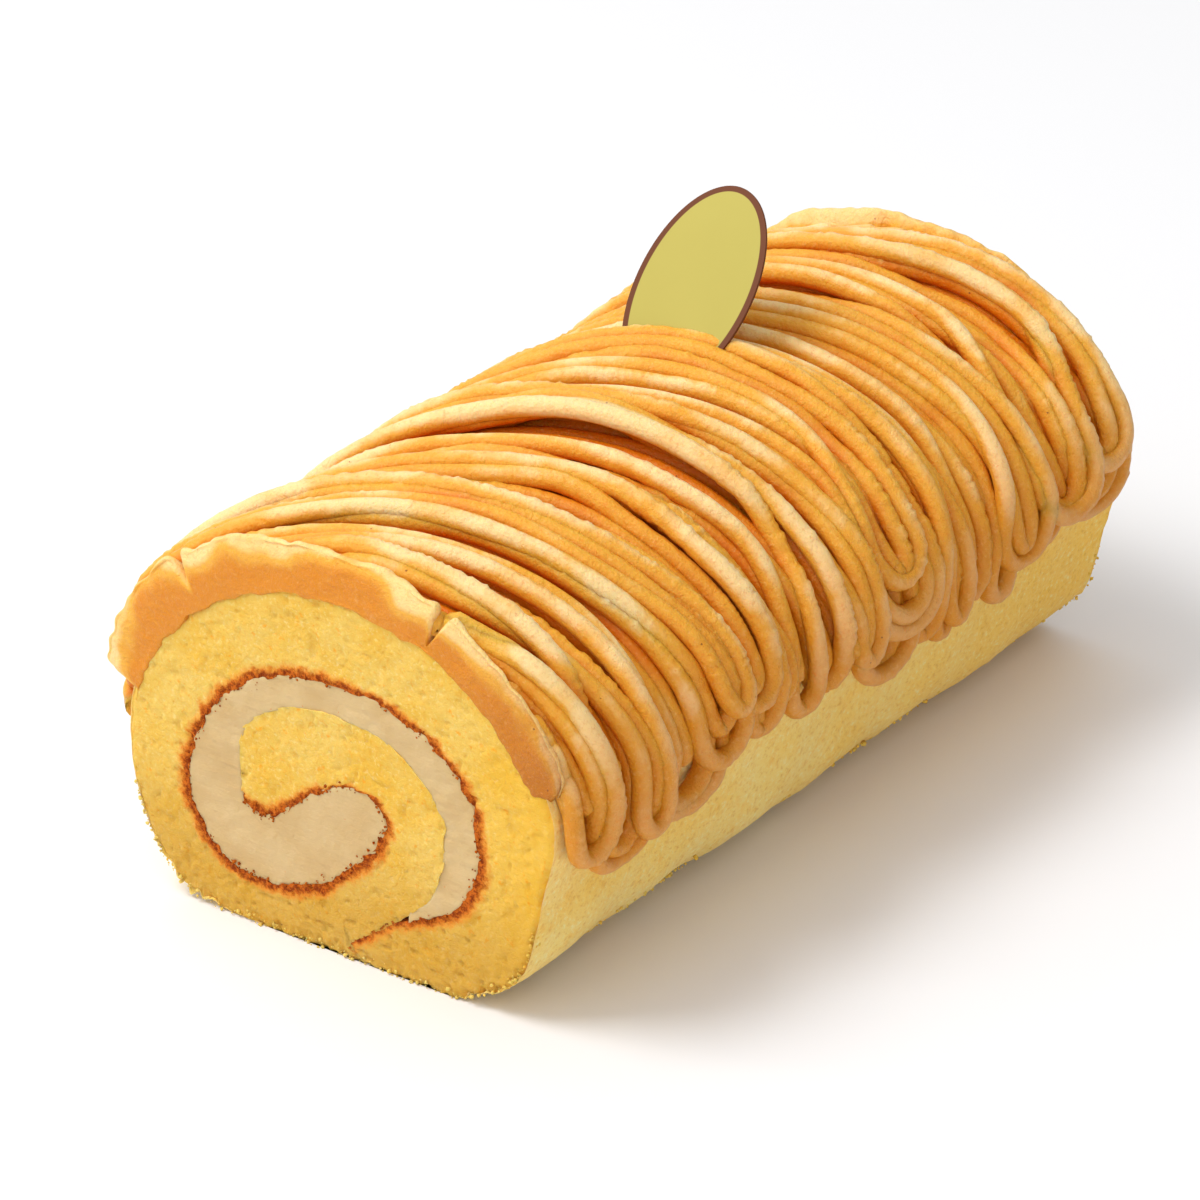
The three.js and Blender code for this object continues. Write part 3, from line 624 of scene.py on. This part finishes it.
class Bed:
    """The surface that the next strand lands on: heights above the sponge on a grid of x and angle."""

    CELL = 0.5
    FIRST_X = -LENGTH / 2 - 15
    FIRST_ANGLE = -25.0

    def __init__(self):
        columns = int(round((LENGTH + 30) / self.CELL))
        rows = int(round(230 * ROUND / self.CELL))
        angles = self.FIRST_ANGLE + np.arange(rows) * self.CELL / ROUND
        self.height = np.repeat(coat_thickness(angles)[:, None], columns, 1)

    def cell(self, x, angle):
        """Row and column of a place."""
        rows, columns = self.height.shape
        column = np.clip(np.round((x - self.FIRST_X) / self.CELL).astype(int), 0, columns - 1)
        row = np.clip(np.round((angle - self.FIRST_ANGLE) * ROUND / self.CELL).astype(int), 0, rows - 1)
        return row, column

    def at(self, x, angle):
        """Height of the surface at a place."""
        return self.height[self.cell(x, angle)]

    def raise_to(self, x, angle, height):
        """Raises the surface at places where it is lower than a height."""
        np.maximum.at(self.height, self.cell(x, angle), height)

    def softened(self, reach):
        """The same bed with its heights averaged over a round patch."""
        rows, columns = self.height.shape
        waves = np.fft.fftfreq(rows)[:, None] ** 2 + np.fft.rfftfreq(columns)[None, :] ** 2
        spectrum = np.fft.rfft2(self.height) * np.exp(-2 * (np.pi * reach / self.CELL) ** 2 * waves)
        soft = Bed()
        soft.height = np.fft.irfft2(spectrum, s=self.height.shape)
        return soft


RUN_STEPS = 190  # points of a stroke's run and of the bends at its ends
BEND_STEPS = 12


def strokes():
    """The strokes in the order piped: two for each near turn, and a far turn between one pair and the next.
    On top they lie in evenly spread ridges, in the order of their near ends."""
    legs = []
    for turn, (x, angle, half, nest, strands) in enumerate(TURNS):
        shared = {"turn": turn, "near_x": x, "half": half, "angle": angle, "nest": nest, "strands": strands}
        legs += [shared | {"side": 1}, shared | {"side": -1}]
    order = sorted(range(len(legs)), key=lambda n: legs[n]["near_x"] + legs[n]["side"] * legs[n]["half"])
    for rank, n in enumerate(order):
        ridge = RIDGE_REACH * (2 * rank / (len(legs) - 1) - 1) + RIDGE_JITTER * uneven(rank)
        lean = LEAN + LEAN_GROWTH * ridge
        legs[n].update(number=n, ridge=ridge, lean=lean, far_x=ridge - lean, far_half=0.0)
    for last, following in zip(legs[1::2], legs[2::2]):
        half = (last["far_x"] - following["far_x"]) / 2
        half = np.copysign(max(abs(half), FAR_BEND_HALF), half)
        last["far_half"], following["far_half"] = half, -half
    return legs


def strand_line(stroke, k):
    """Centre line of strand k of a stroke, as arrays x and angle: a quarter oval up from the near turn, a
    run that draws in to its ridge, drifts and fans out again, and a quarter oval down to the far turn."""
    n, turn, far_turn = stroke["number"], stroke["turn"], (stroke["number"] + 1) // 2
    reach = (stroke["strands"] - 1) / 2 * STRAND_PITCH
    hole = k * STRAND_PITCH - reach
    near_hole = hole + 0.5 * uneven(7 * turn + 5 * k)
    far_hole = hole + 0.5 * uneven(5 * far_turn + 3 * k + 2)
    nest = stroke["nest"]
    half = max(stroke["half"] + near_hole * nest, 1.6)
    middle = stroke["near_x"] + near_hole * (1 - nest)
    hang = 0.8 * (reach - near_hole) * nest + 3.2 * (1 + uneven(4 * turn + k)) * (1 - 0.7 * nest)
    near = stroke["angle"] + hang / ROUND
    far = FAR_ANGLE - 7 * (1 + uneven(11 * far_turn + 3 * k))
    near_depth = (2.6 + 0.75 * half) / ROUND
    far_depth = FAR_BEND_DEPTH / ROUND
    share = np.linspace(0, 1, RUN_STEPS + 1)[1:-1]
    near_end = middle + stroke["side"] * half
    held = stroke["ridge"] + 0.3 * uneven(2 * n + 3 * k)
    held += HELD_TOGETHER * (1 + 0.8 * uneven(3 * n + 1)) * hole
    far_end = stroke["far_x"] + far_hole + stroke["lean"]
    run_angle = mix(near + near_depth, far - far_depth, share)
    run_x = mix(mix(near_end, held, smooth(share / FAN)), far_end, smooth((share - 1 + FAN) / FAN))
    for valley, level, width, length in VALLEYS:
        off = (run_x - valley) / width
        run_x = run_x + 0.85 * width * off * np.exp(-off * off - ((run_angle - level) / length) ** 2)
    run_x = run_x - stroke["lean"] * smooth(share**1.35)
    turned = np.linspace(0, np.pi / 2, BEND_STEPS + 1)
    near_x = middle + stroke["side"] * half * np.sin(turned)
    far_x = stroke["far_x"] - stroke["far_half"] + stroke["far_half"] * np.sin(turned[::-1]) + far_hole
    x = np.concatenate([near_x, run_x, far_x])
    near_angle = near + near_depth * (1 - np.cos(turned))
    far_angle = far - far_depth * (1 - np.cos(turned[::-1]))
    angle = np.concatenate([near_angle, run_angle, far_angle])
    phase = 2.4 * n + 1.3 * k
    wander = 0.5 * np.sin(angle / 16 + 2.4 * n) + 0.2 * np.sin(angle / 9 + phase)
    wander += 0.12 * np.sin(angle / 5.3 + 2.1 * phase)
    return x + wander * smooth((angle - near) / 12) * smooth((far - angle) / 12), angle


def across_line(x, angle):
    """Unit vectors across a line on the unrolled surface, as dx and dangle for one millimetre."""
    dx, ds = np.gradient(x), np.gradient(angle) * ROUND
    length = np.hypot(dx, ds)
    return ds / length, -dx / length / ROUND


EVEN_REACH = 9  # points on either side over which a strand's height evens out
JOIN_REACH = 30  # points after which it no longer follows from the stroke before
LONGEST_STEP = 3.0  # a wider gap than this between a strand's strokes is where it broke off


def lay_strand(bed, x, angle, before):
    """Heights of a strand's centre: it rests on the highest thing under it, evened out along its length, and
    starts at the height where its last stroke ended."""
    dx, da = across_line(x, angle)
    coat = coat_thickness(angle)
    supports = []
    for d in np.array([-0.8, -0.4, 0, 0.4, 0.8]) * STRAND_RADIUS:
        supports.append(bed.at(x + d * dx, angle + d * da) + np.sqrt(STRAND_RADIUS**2 - d * d))
    on_top = np.max(supports, 0) - coat - STRAND_RADIUS
    rest = coat + STRAND_RADIUS - STRAND_SINK + STACKING * on_top
    kernel = np.ones(2 * EVEN_REACH + 1) / (2 * EVEN_REACH + 1)
    height = np.convolve(np.pad(rest, EVEN_REACH, mode="edge"), kernel, mode="valid")
    if before is not None:
        height = mix(before, height, smooth(np.arange(len(height)) / JOIN_REACH))
    return height


def stamp(bed, x, angle, height):
    """Raises the bed to the strand's top, across its whole width."""
    dx, da = across_line(x, angle)
    for d in np.arange(-STRAND_RADIUS, STRAND_RADIUS + 0.01, Bed.CELL / 2):
        bed.raise_to(x + d * dx, angle + d * da, height + np.sqrt(max(STRAND_RADIUS**2 - d * d, 0)))


def pipe_strands():
    """The bed with every stroke laid on it, and the strands: each a line of x, angle and height."""
    bed = Bed()
    lines = [[] for _ in range(STRAND_HOLES)]
    for stroke in strokes():
        for k in range(stroke["strands"]):
            x, angle = strand_line(stroke, k)
            outbound = stroke["number"] % 2 == 1
            if not outbound:
                x, angle = x[::-1], angle[::-1]
            unbroken = lines[k] and abs(lines[k][-1][0][-1] - x[0]) < LONGEST_STEP
            height = lay_strand(bed, x, angle, lines[k][-1][2][-1] if unbroken else None)
            stamp(bed, x, angle, height)
            lines[k].append((x[1:], angle[1:], height[1:]) if unbroken else (x, angle, height))
    return bed, [tuple(np.concatenate([leg[j] for leg in line]) for j in range(3)) for line in lines]


FIRST_LAYER = 50  # strands, and the points of each
FIRST_STEPS = 72


def first_layer():
    """The strands piped first, side by side from edge to edge and half sunk in the coat. They show only
    where the later ones leave a gap."""
    share = np.linspace(0, 1, FIRST_STEPS)
    for n in range(FIRST_LAYER):
        x = mix(3 - LENGTH / 2, LENGTH / 2 + 24, n / (FIRST_LAYER - 1)) + 0.6 * uneven(5 * n + 2)
        lowest = 4 + 5 * uneven(3 * n + 1) - 8 * np.exp(-(((x + 50) / 8) ** 2))
        angle = mix(lowest, 173 + 3 * uneven(7 * n), share)
        wander = 0.8 * np.sin(angle / 17 + 1.9 * n)
        yield x - LEAN * smooth(share**1.35) + wander, angle, np.maximum(coat_thickness(angle), 0.7) + 0.3


# Section of the cut and smeared edge at a slice: distance behind the slice, and share of its full height,
# below 0 where the knife dragged cream down onto the sponge.
BAND = [
    (0.9, -1.3), (0.0, -1.0), (-0.12, -0.5), (0.0, 0.0), (0.08, 0.3), (0.1, 0.58), (0.4, 0.8), (1.2, 0.97),
    (2.5, 1.0), (3.7, 0.85), (4.8, 0.55), (5.8, 0.2), (7.0, 0.0),
]
BAND_COLUMNS = 49
FACE_COLUMNS = 28  # of them in front of the band's crest
FRONT_SEED, BACK_SEED = 51, 61
CRACKS = ((131.0, 1.2, 0.6), (65.5, 1.1, 0.95))  # angle, half width in degrees, share of the height missing


def skin_height(angle):
    """Height of the sponge's skin above the base oval at an angle. Each point of the skin lies on the oval
    swollen by some height, found by halving an interval."""
    rail = pale_rail(np.linspace(1, SKIN_REACH - 1, 1500))
    y, z = rail[:, 0], rail[:, 1] - HALF_HEIGHT
    low, high = np.full(len(y), -15.0), np.full(len(y), 15.0)
    for _ in range(30):
        middle = (low + high) / 2
        outside = (y / (HALF_WIDTH + middle)) ** 2 + (z / (HALF_HEIGHT + middle)) ** 2 > 1
        low, high = np.where(outside, middle, low), np.where(outside, high, middle)
    around = np.degrees(np.arctan2(z / (HALF_HEIGHT + low), -y / (HALF_WIDTH + low)))
    around = np.where(around < -90, around + 360, around)
    order = np.argsort(around)
    return np.interp(angle, around[order], low[order])


def band_height(angle, at_back, seed):
    """Full height of the smeared edge above the base oval. In front it is thick, with lumps and cracks, and
    thinner on the far side and towards its lower ends. At the back it is a low bare edge over the top."""
    arc = angle * ROUND
    lumps = 0.6 * noise_at(arc, seed * 7.0, 7, seed) + 0.35 * noise_at(arc, seed * 3.0, 2.1, seed + 1)
    if at_back:
        height = (COAT_TOP + BACK_RIM + 0.7 * lumps) * smooth((angle - 40) / 30) * smooth((176 - angle) / 14)
    else:
        thinner = 1.7 * smooth((angle - 120) / 30) + 1.5 * smooth((66 - angle) / 10)
        thinner += 1.1 * smooth((48 - angle) / 30)
        height = (COAT_TOP + RIM - thinner + lumps) * smooth((angle - 13) / 12) * smooth((177 - angle) / 9)
        for middle, half, share in CRACKS:
            height = height * (1 - share * np.exp(-(((angle - middle) / half) ** 2)))
    return np.maximum(height, skin_height(angle) + 0.15)


def edge_block(angle, at_back, seed):
    """The cut and smeared edge at one slice: BAND swept round the roll, from just inside the sponge's skin
    over the face and out onto the coat."""
    profile = curve_at(BAND, np.linspace(0, len(BAND) - 1, BAND_COLUMNS))
    depth, share = profile[:, 0][None, :], profile[:, 1][None, :]
    arc = angle * ROUND
    skin, full, coat = skin_height(angle), band_height(angle, at_back, seed), coat_thickness(angle)
    smear = 0.7 + 1.5 * smooth((70 - angle) / 40) + 0.7 * noise_at(arc, 2.0, 5, seed + 7)
    smear = np.maximum(smear + 0.4 * noise_at(arc, 4.0, 1.8, seed + 8), 0.2)
    height = skin + np.where(share < 0, share * smear, share * (full - skin))
    behind = np.arange(BAND_COLUMNS)[None, :] >= FACE_COLUMNS
    shown = 1.0 if at_back else smooth((angle - 15 + noise_at(arc, 6.0, 4, seed)) / 5)
    onto_coat = np.maximum(share * full, np.minimum(coat, full))
    height = under_skin(np.where(behind, onto_coat, mix(skin - 0.8, height, shown)), skin, angle)
    ragged = 1 + 0.3 * noise_at(arc, 5.0, 4, seed + 2) + 0.2 * noise_at(arc, 9.0, 1.6, seed + 3)
    narrow = 0.72 - 0.3 * smooth((68 - angle) / 14)
    depth = np.where(behind, depth * ragged * narrow, depth)
    grain = 0.1 * noise_at(arc, height, 1.3, seed + 4) + 0.3 * noise_at(arc, height, 5, seed + 5)
    depth = np.maximum(depth + 0.12 + grain, 0.02) + 1.5 * (1 - shown)
    x = inside_slice(at_back, place(0, angle, height)[..., 1], depth)
    height = height + 0.22 * noise_at(arc, depth, 1.4, seed + 6) * behind * smooth(depth - 0.5)
    # Painted light on the smeared edge: paler towards its crest and deeper low on the smear, in random
    # patches
    patches = 0.3 * noise_at(arc, height, 5, seed + 9)
    return place(x, angle, height), smooth((share - 0.25 + patches) / 0.7)


def make_coat():
    """The spread cream with its smeared edges, as one closed grid. Its rows run round the roll; its columns
    run up the front face, along the roll, down the back face and back inside the sponge."""
    angle = np.linspace(COAT_EDGE - 5, 185 - COAT_EDGE, 420)[:, None]
    front, front_painted_light = edge_block(angle, False, FRONT_SEED)
    back, back_painted_light = edge_block(angle, True, BACK_SEED)
    along = np.linspace(8, LENGTH - 8, 90)[None, :] / LENGTH
    run_x = mix(front_slice(0 * angle), LENGTH / 2, along)
    coat = coat_thickness(angle)
    spread = coat + 0.25 * noise_at(run_x, angle * ROUND, 4, 71) * smooth(coat)
    run = place(run_x, angle, under_skin(spread, skin_height(angle), angle))
    under_x = np.array([[LENGTH / 2 - 2.5, 2.5 - LENGTH / 2]]) + 0 * angle
    under = place(under_x, angle, skin_height(angle) - 1.5)
    grid = np.concatenate([front, run, back[:, ::-1], under], 1)
    # The coat between the edges and its part inside the sponge take the painted shade of the gaps between
    # strands
    flat = np.zeros((len(angle), 1))
    painted_light = np.concatenate([front_painted_light, flat.repeat(along.size, 1), back_painted_light[:, ::-1], flat.repeat(2, 1)], 1)
    piece = wrapped_piece("chestnut_coat", grid, {"painted_light": painted_light}, sharp=70)
    return finished(piece, chestnut_paste("chestnut_coat", COAT_COLOURS, 0.056, 0.5))


TUBE_SIDES = 12
PIECES_PER_STRAND = 2  # in the finished model
CUT_DEPTH = 2.0  # the strands end this far behind the slices, inside the smear
BEHIND_BAND = 2.3  # low on the near side they stay this far behind the front slice instead
SHORTEST_RUN = 14  # points; a shorter length is left out
SCRAPED = (-24.0, 63.0, 4.5, 13.0)  # x and angle of a patch scraped rough, and its reach in x and angle


def press_into_edges(x, angle, height):
    """Near a slice the knife pressed the strands down into the smear, and low on the near side the first
    ones run up behind it. Returns x, heights, distances from the nearer slice, and where they go on."""
    y = place(0, angle, height)[:, 1]
    depth = x - front_slice(y)
    x = x + smooth((50 - angle) / 12) * 0.5 * np.logaddexp(0, (BEHIND_BAND - depth) / 0.5)
    from_front, from_back = x - front_slice(y), LENGTH / 2 - x
    from_slice, at_front = np.minimum(from_front, from_back), from_front < from_back
    band = np.where(at_front, band_height(angle, False, FRONT_SEED), band_height(angle, True, BACK_SEED))
    low = np.minimum(height, np.maximum(band - STRAND_RADIUS - 0.35, coat_thickness(angle) + 0.4))
    low = mix(low, height, smooth((17 - angle) / 7) * at_front)
    ends = mix(CUT_DEPTH, -0.4, smooth((24 - angle) / 6) * at_front)
    return x, mix(low, height, smooth((from_slice - ends) / 3.0)), from_slice, from_slice > ends


def strand_thickness(k, x, angle, along, phi):
    """Radius of a cord along its line and round it: uneven, with a row of small teeth where the paste tore
    at the nozzle, and rough where it was scraped."""
    swell = 1 + 0.06 * noise_at(along, 40.0 * k, 11, 81)
    swell = swell + 0.03 * noise_at(along, 40.0 * k + 4 * phi, 2.4, 82)
    torn = 0.3 + 0.7 * smooth((noise_at(along, 20.0 * k, 26, 83) + 0.1) / 0.35)
    flank = np.exp(-(((phi - 0.6 * np.pi) / 0.5) ** 2))
    teeth = 0.3 * torn * flank * np.abs(noise_at(along, k * 9.0, 1.0, 84))
    middle, level, width, length = SCRAPED
    scraped = np.exp(-(((x - middle) / width) ** 2) - ((angle - level) / length) ** 2)
    return STRAND_RADIUS * (swell + teeth + 0.4 * scraped * noise_at(along, k * 5.0 + 3 * phi, 1.1, 85))


def strand_lengths(k, line, soft_bed):
    """A round cord of cream carried along its line, in one closed length for each stretch between the
    slices, rounded at its ends. Painted light makes it paler the higher it stands above what lies round it,
    and painted shade makes it deeper where it lies low."""
    _, angle, _ = line
    x, height, from_slice, inside = press_into_edges(*line)
    centre = place(x, angle, height)
    step = np.linalg.norm(np.diff(centre, axis=0), axis=1)
    tangent = np.gradient(centre, axis=0)
    tangent /= np.linalg.norm(tangent, axis=1)[:, None]
    a = np.radians(angle)
    up = np.stack([0 * a, -np.cos(a), np.sin(a)], 1)
    side = np.cross(tangent, up)
    side /= np.linalg.norm(side, axis=1)[:, None]
    up = np.cross(side, tangent)
    along = np.concatenate([[0], np.cumsum(step)])[:, None]
    phi = np.linspace(0, 2 * np.pi, TUBE_SIDES, endpoint=False)[None, :]
    radius = strand_thickness(k, x[:, None], angle[:, None], along, phi)
    ring = np.cos(phi)[..., None] * side[:, None] + np.sin(phi)[..., None] * up[:, None]
    grid = centre[:, None] + radius[..., None] * ring
    dx, dangle = across_line(x, angle)
    sideways = np.einsum("ijk,ik->ij", ring, place(x + dx, angle + dangle, height) - centre) * radius
    around = soft_bed.at(x[:, None] + sideways * dx[:, None], angle[:, None] + sideways * dangle[:, None])
    # Painted light: paler the higher the cord stands above the softened bed, painted shade where it lies low,
    # and little shade near the slices
    painted_light = np.clip(0.55 + (height[:, None] + radius * np.sin(phi) - around) / 3.6, 0, 1)
    painted_light = np.maximum(painted_light, 0.75 * smooth((4.5 - from_slice) / 3)[:, None])
    ends = np.diff(inside.astype(int)) != 0
    runs = np.split(np.arange(len(x)), np.flatnonzero(ends | (step > LONGEST_STEP)) + 1)
    runs = [run[1:-1] for run in runs if inside[run[0]] and len(run) >= SHORTEST_RUN]
    lengths = []
    for run in runs:
        from_end = np.minimum(along[run] - along[run[0]], along[run[-1]] - along[run])
        rounding = np.sqrt(1 - (1 - np.clip(from_end / 1.5, 0.04, 1)) ** 2)[..., None]
        lengths.append((mix(centre[run][:, None], grid[run], rounding), painted_light[run]))
    return lengths


def join_strands(name, lengths, material):
    """One piece from several closed lengths of strand."""
    grids, painted_lights = zip(*lengths)
    starts = np.cumsum([0] + [len(grid) * TUBE_SIDES for grid in grids])
    points = np.concatenate([grid.reshape(-1, 3) for grid in grids])
    faces = np.concatenate([ring_faces(len(grid), TUBE_SIDES) + start for grid, start in zip(grids, starts)])
    ends = np.arange(TUBE_SIDES)
    caps = [start + ends[::-1] for start in starts[:-1]] + [stop - TUBE_SIDES + ends for stop in starts[1:]]
    piece = make_piece(name, points, faces, caps, {"painted_light": np.concatenate([painted_light.ravel() for painted_light in painted_lights])})
    return finished(piece, material)


# ---- The tag ----
def make_tag():
    """A thin oval plate, upright, leaning back and stuck in the cream: rings from the middle of its front to
    the rim, round the edge, and over the back."""
    around = np.linspace(0, 2 * np.pi, 144, endpoint=False)[None, :]
    share = np.array([0.02, 0.3, 0.6, 0.85, 0.9, 0.94, 0.97, 0.985, 0.996])
    inset = np.concatenate([share, [1.0, 1.0], share[::-1]])[:, None]
    level = np.concatenate([0 * share + 1, [0.6, -0.6], 0 * share - 1])[:, None] * TAG_THICKNESS / 2
    across = TAG_HALF_WIDTH * inset * np.cos(around)
    upward = TAG_HALF_HEIGHT * inset * np.sin(around)
    lean = np.radians(TAG_LEAN)
    wide = np.array([0, -1, 0])
    tall = np.array([np.sin(lean), 0, np.cos(lean)])
    out = np.array([-np.cos(lean), 0, np.sin(lean)])
    grid = TAG_MIDDLE + across[..., None] * wide + upward[..., None] * tall + level[..., None] * out
    from_edge = (1 - inset) / np.hypot(np.cos(around) / TAG_HALF_WIDTH, np.sin(around) / TAG_HALF_HEIGHT)
    return finished(wrapped_piece("oval_tag", grid, {"from_edge": from_edge}, sharp=40), tag_card())


# ---- Putting the cake together ----
def attach(piece, node):
    """Lets a piece ride on the cake and stand for a node of the solids, whose own part is hidden."""
    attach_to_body(piece, "root")
    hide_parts(node)


attach(make_sponge(), "sponge")
attach(edge_crumbs(), "sponge")
attach(browned_crumbs(), "sponge")
attach(make_filling(), "cream_filling")
bed, lines = pipe_strands()
attach(make_coat(), "chestnut_cream")
soft_bed = bed.softened(2.2)
strand_finish = chestnut_paste("chestnut_strand", STRAND_COLOURS, 0.04, 0.35)
first_lengths = [strand_lengths(n, line, soft_bed) for n, line in enumerate(first_layer())]
attach(join_strands("first_strands", sum(first_lengths, []), strand_finish), "chestnut_cream")
for k, line in enumerate(lines):
    lengths = strand_lengths(k, line, soft_bed)
    share = np.cumsum([len(grid) for grid, _ in lengths]) / sum(len(grid) for grid, _ in lengths)
    for part in range(PIECES_PER_STRAND):
        chosen = [length for length, at in zip(lengths, share) if part < at * PIECES_PER_STRAND <= part + 1]
        attach(join_strands(f"piped_strand_{k + 1}_{part + 1}", chosen, strand_finish), "chestnut_cream")
attach(make_tag(), "name_tag")


# ---- Floor, light and camera ----
def make_floor():
    """A plain pale floor, far larger than the view."""
    half = 4000.0
    corners = np.array([(-half, -half, 0), (half, -half, 0), (half, half, 0), (-half, half, 0)])
    floor = make_piece("floor", corners, np.array([[0, 1, 2, 3]]))
    finished(floor, Finish("floor", Roughness=0.6, Base_Color=(0.86, 0.86, 0.87, 1)).material)


def aimed(name, data, at, towards):
    """A lamp or camera at a place in mm, aimed at another."""
    piece = bpy.data.objects.new(name, data)
    turned = (Vector(towards) - Vector(at)).to_track_quat("-Z", "Y").to_matrix().to_4x4()
    piece.matrix_world = Matrix.Translation(Vector(at) * MM) @ turned
    bpy.context.scene.collection.objects.link(piece)
    return piece


def add_light(name, at, size, power):
    """A square soft light at a place in mm, aimed at the middle of the roll."""
    light = bpy.data.lights.new(name, "AREA")
    light.shape = "SQUARE"
    light.size = size * MM
    light.energy = power
    aimed(name, light, at, (0, 0, HALF_HEIGHT))


def light_the_scene():
    """White surroundings that are brightest above and behind and dim in front, a broad window light from
    behind on the left, and a weak fill from the front."""
    world = bpy.data.worlds.new("studio")
    world.use_nodes = True
    tree = world.node_tree
    place = add_node(tree, "ShaderNodeTexCoord").outputs["Generated"]
    sides = {0: place, 1: WORLD_BRIGHT_SIDE}
    towards = add_node(tree, "ShaderNodeVectorMath", sides, operation="DOT_PRODUCT").outputs["Value"]
    inputs = dict(zip(("From Min", "From Max", "To Min", "To Max"), WORLD_RISE), Value=towards)
    rise = add_node(tree, "ShaderNodeMapRange", inputs, interpolation_type="SMOOTHSTEP")
    background = tree.nodes["Background"].inputs
    tree.links.new(rise.outputs["Result"], background["Strength"])
    background["Color"].default_value = (1, 1, 1, 1)
    bpy.context.scene.world = world
    add_light("window", (-370, 370, 920), 450, 6.5)
    add_light("fill", (-500, -620, 260), 500, 1.05)


def set_camera():
    """A long lens at the viewing angle, aimed so that the cake sits as it should in a square frame."""
    camera = bpy.data.cameras.new("camera")
    camera.lens = CAMERA_LENS
    camera.sensor_width = 36
    camera.clip_end = 20
    a, e = np.radians(CAMERA_AZIMUTH), np.radians(CAMERA_ELEVATION)
    back = Vector((np.sin(a) * np.cos(e), -np.cos(a) * np.cos(e), np.sin(e)))
    eye = Vector(CAMERA_TARGET) + back * CAMERA_DISTANCE
    bpy.context.scene.camera = aimed("camera", camera, eye, CAMERA_TARGET)


make_floor()
light_the_scene()
set_camera()
bpy.context.scene.view_settings.view_transform = "Standard"
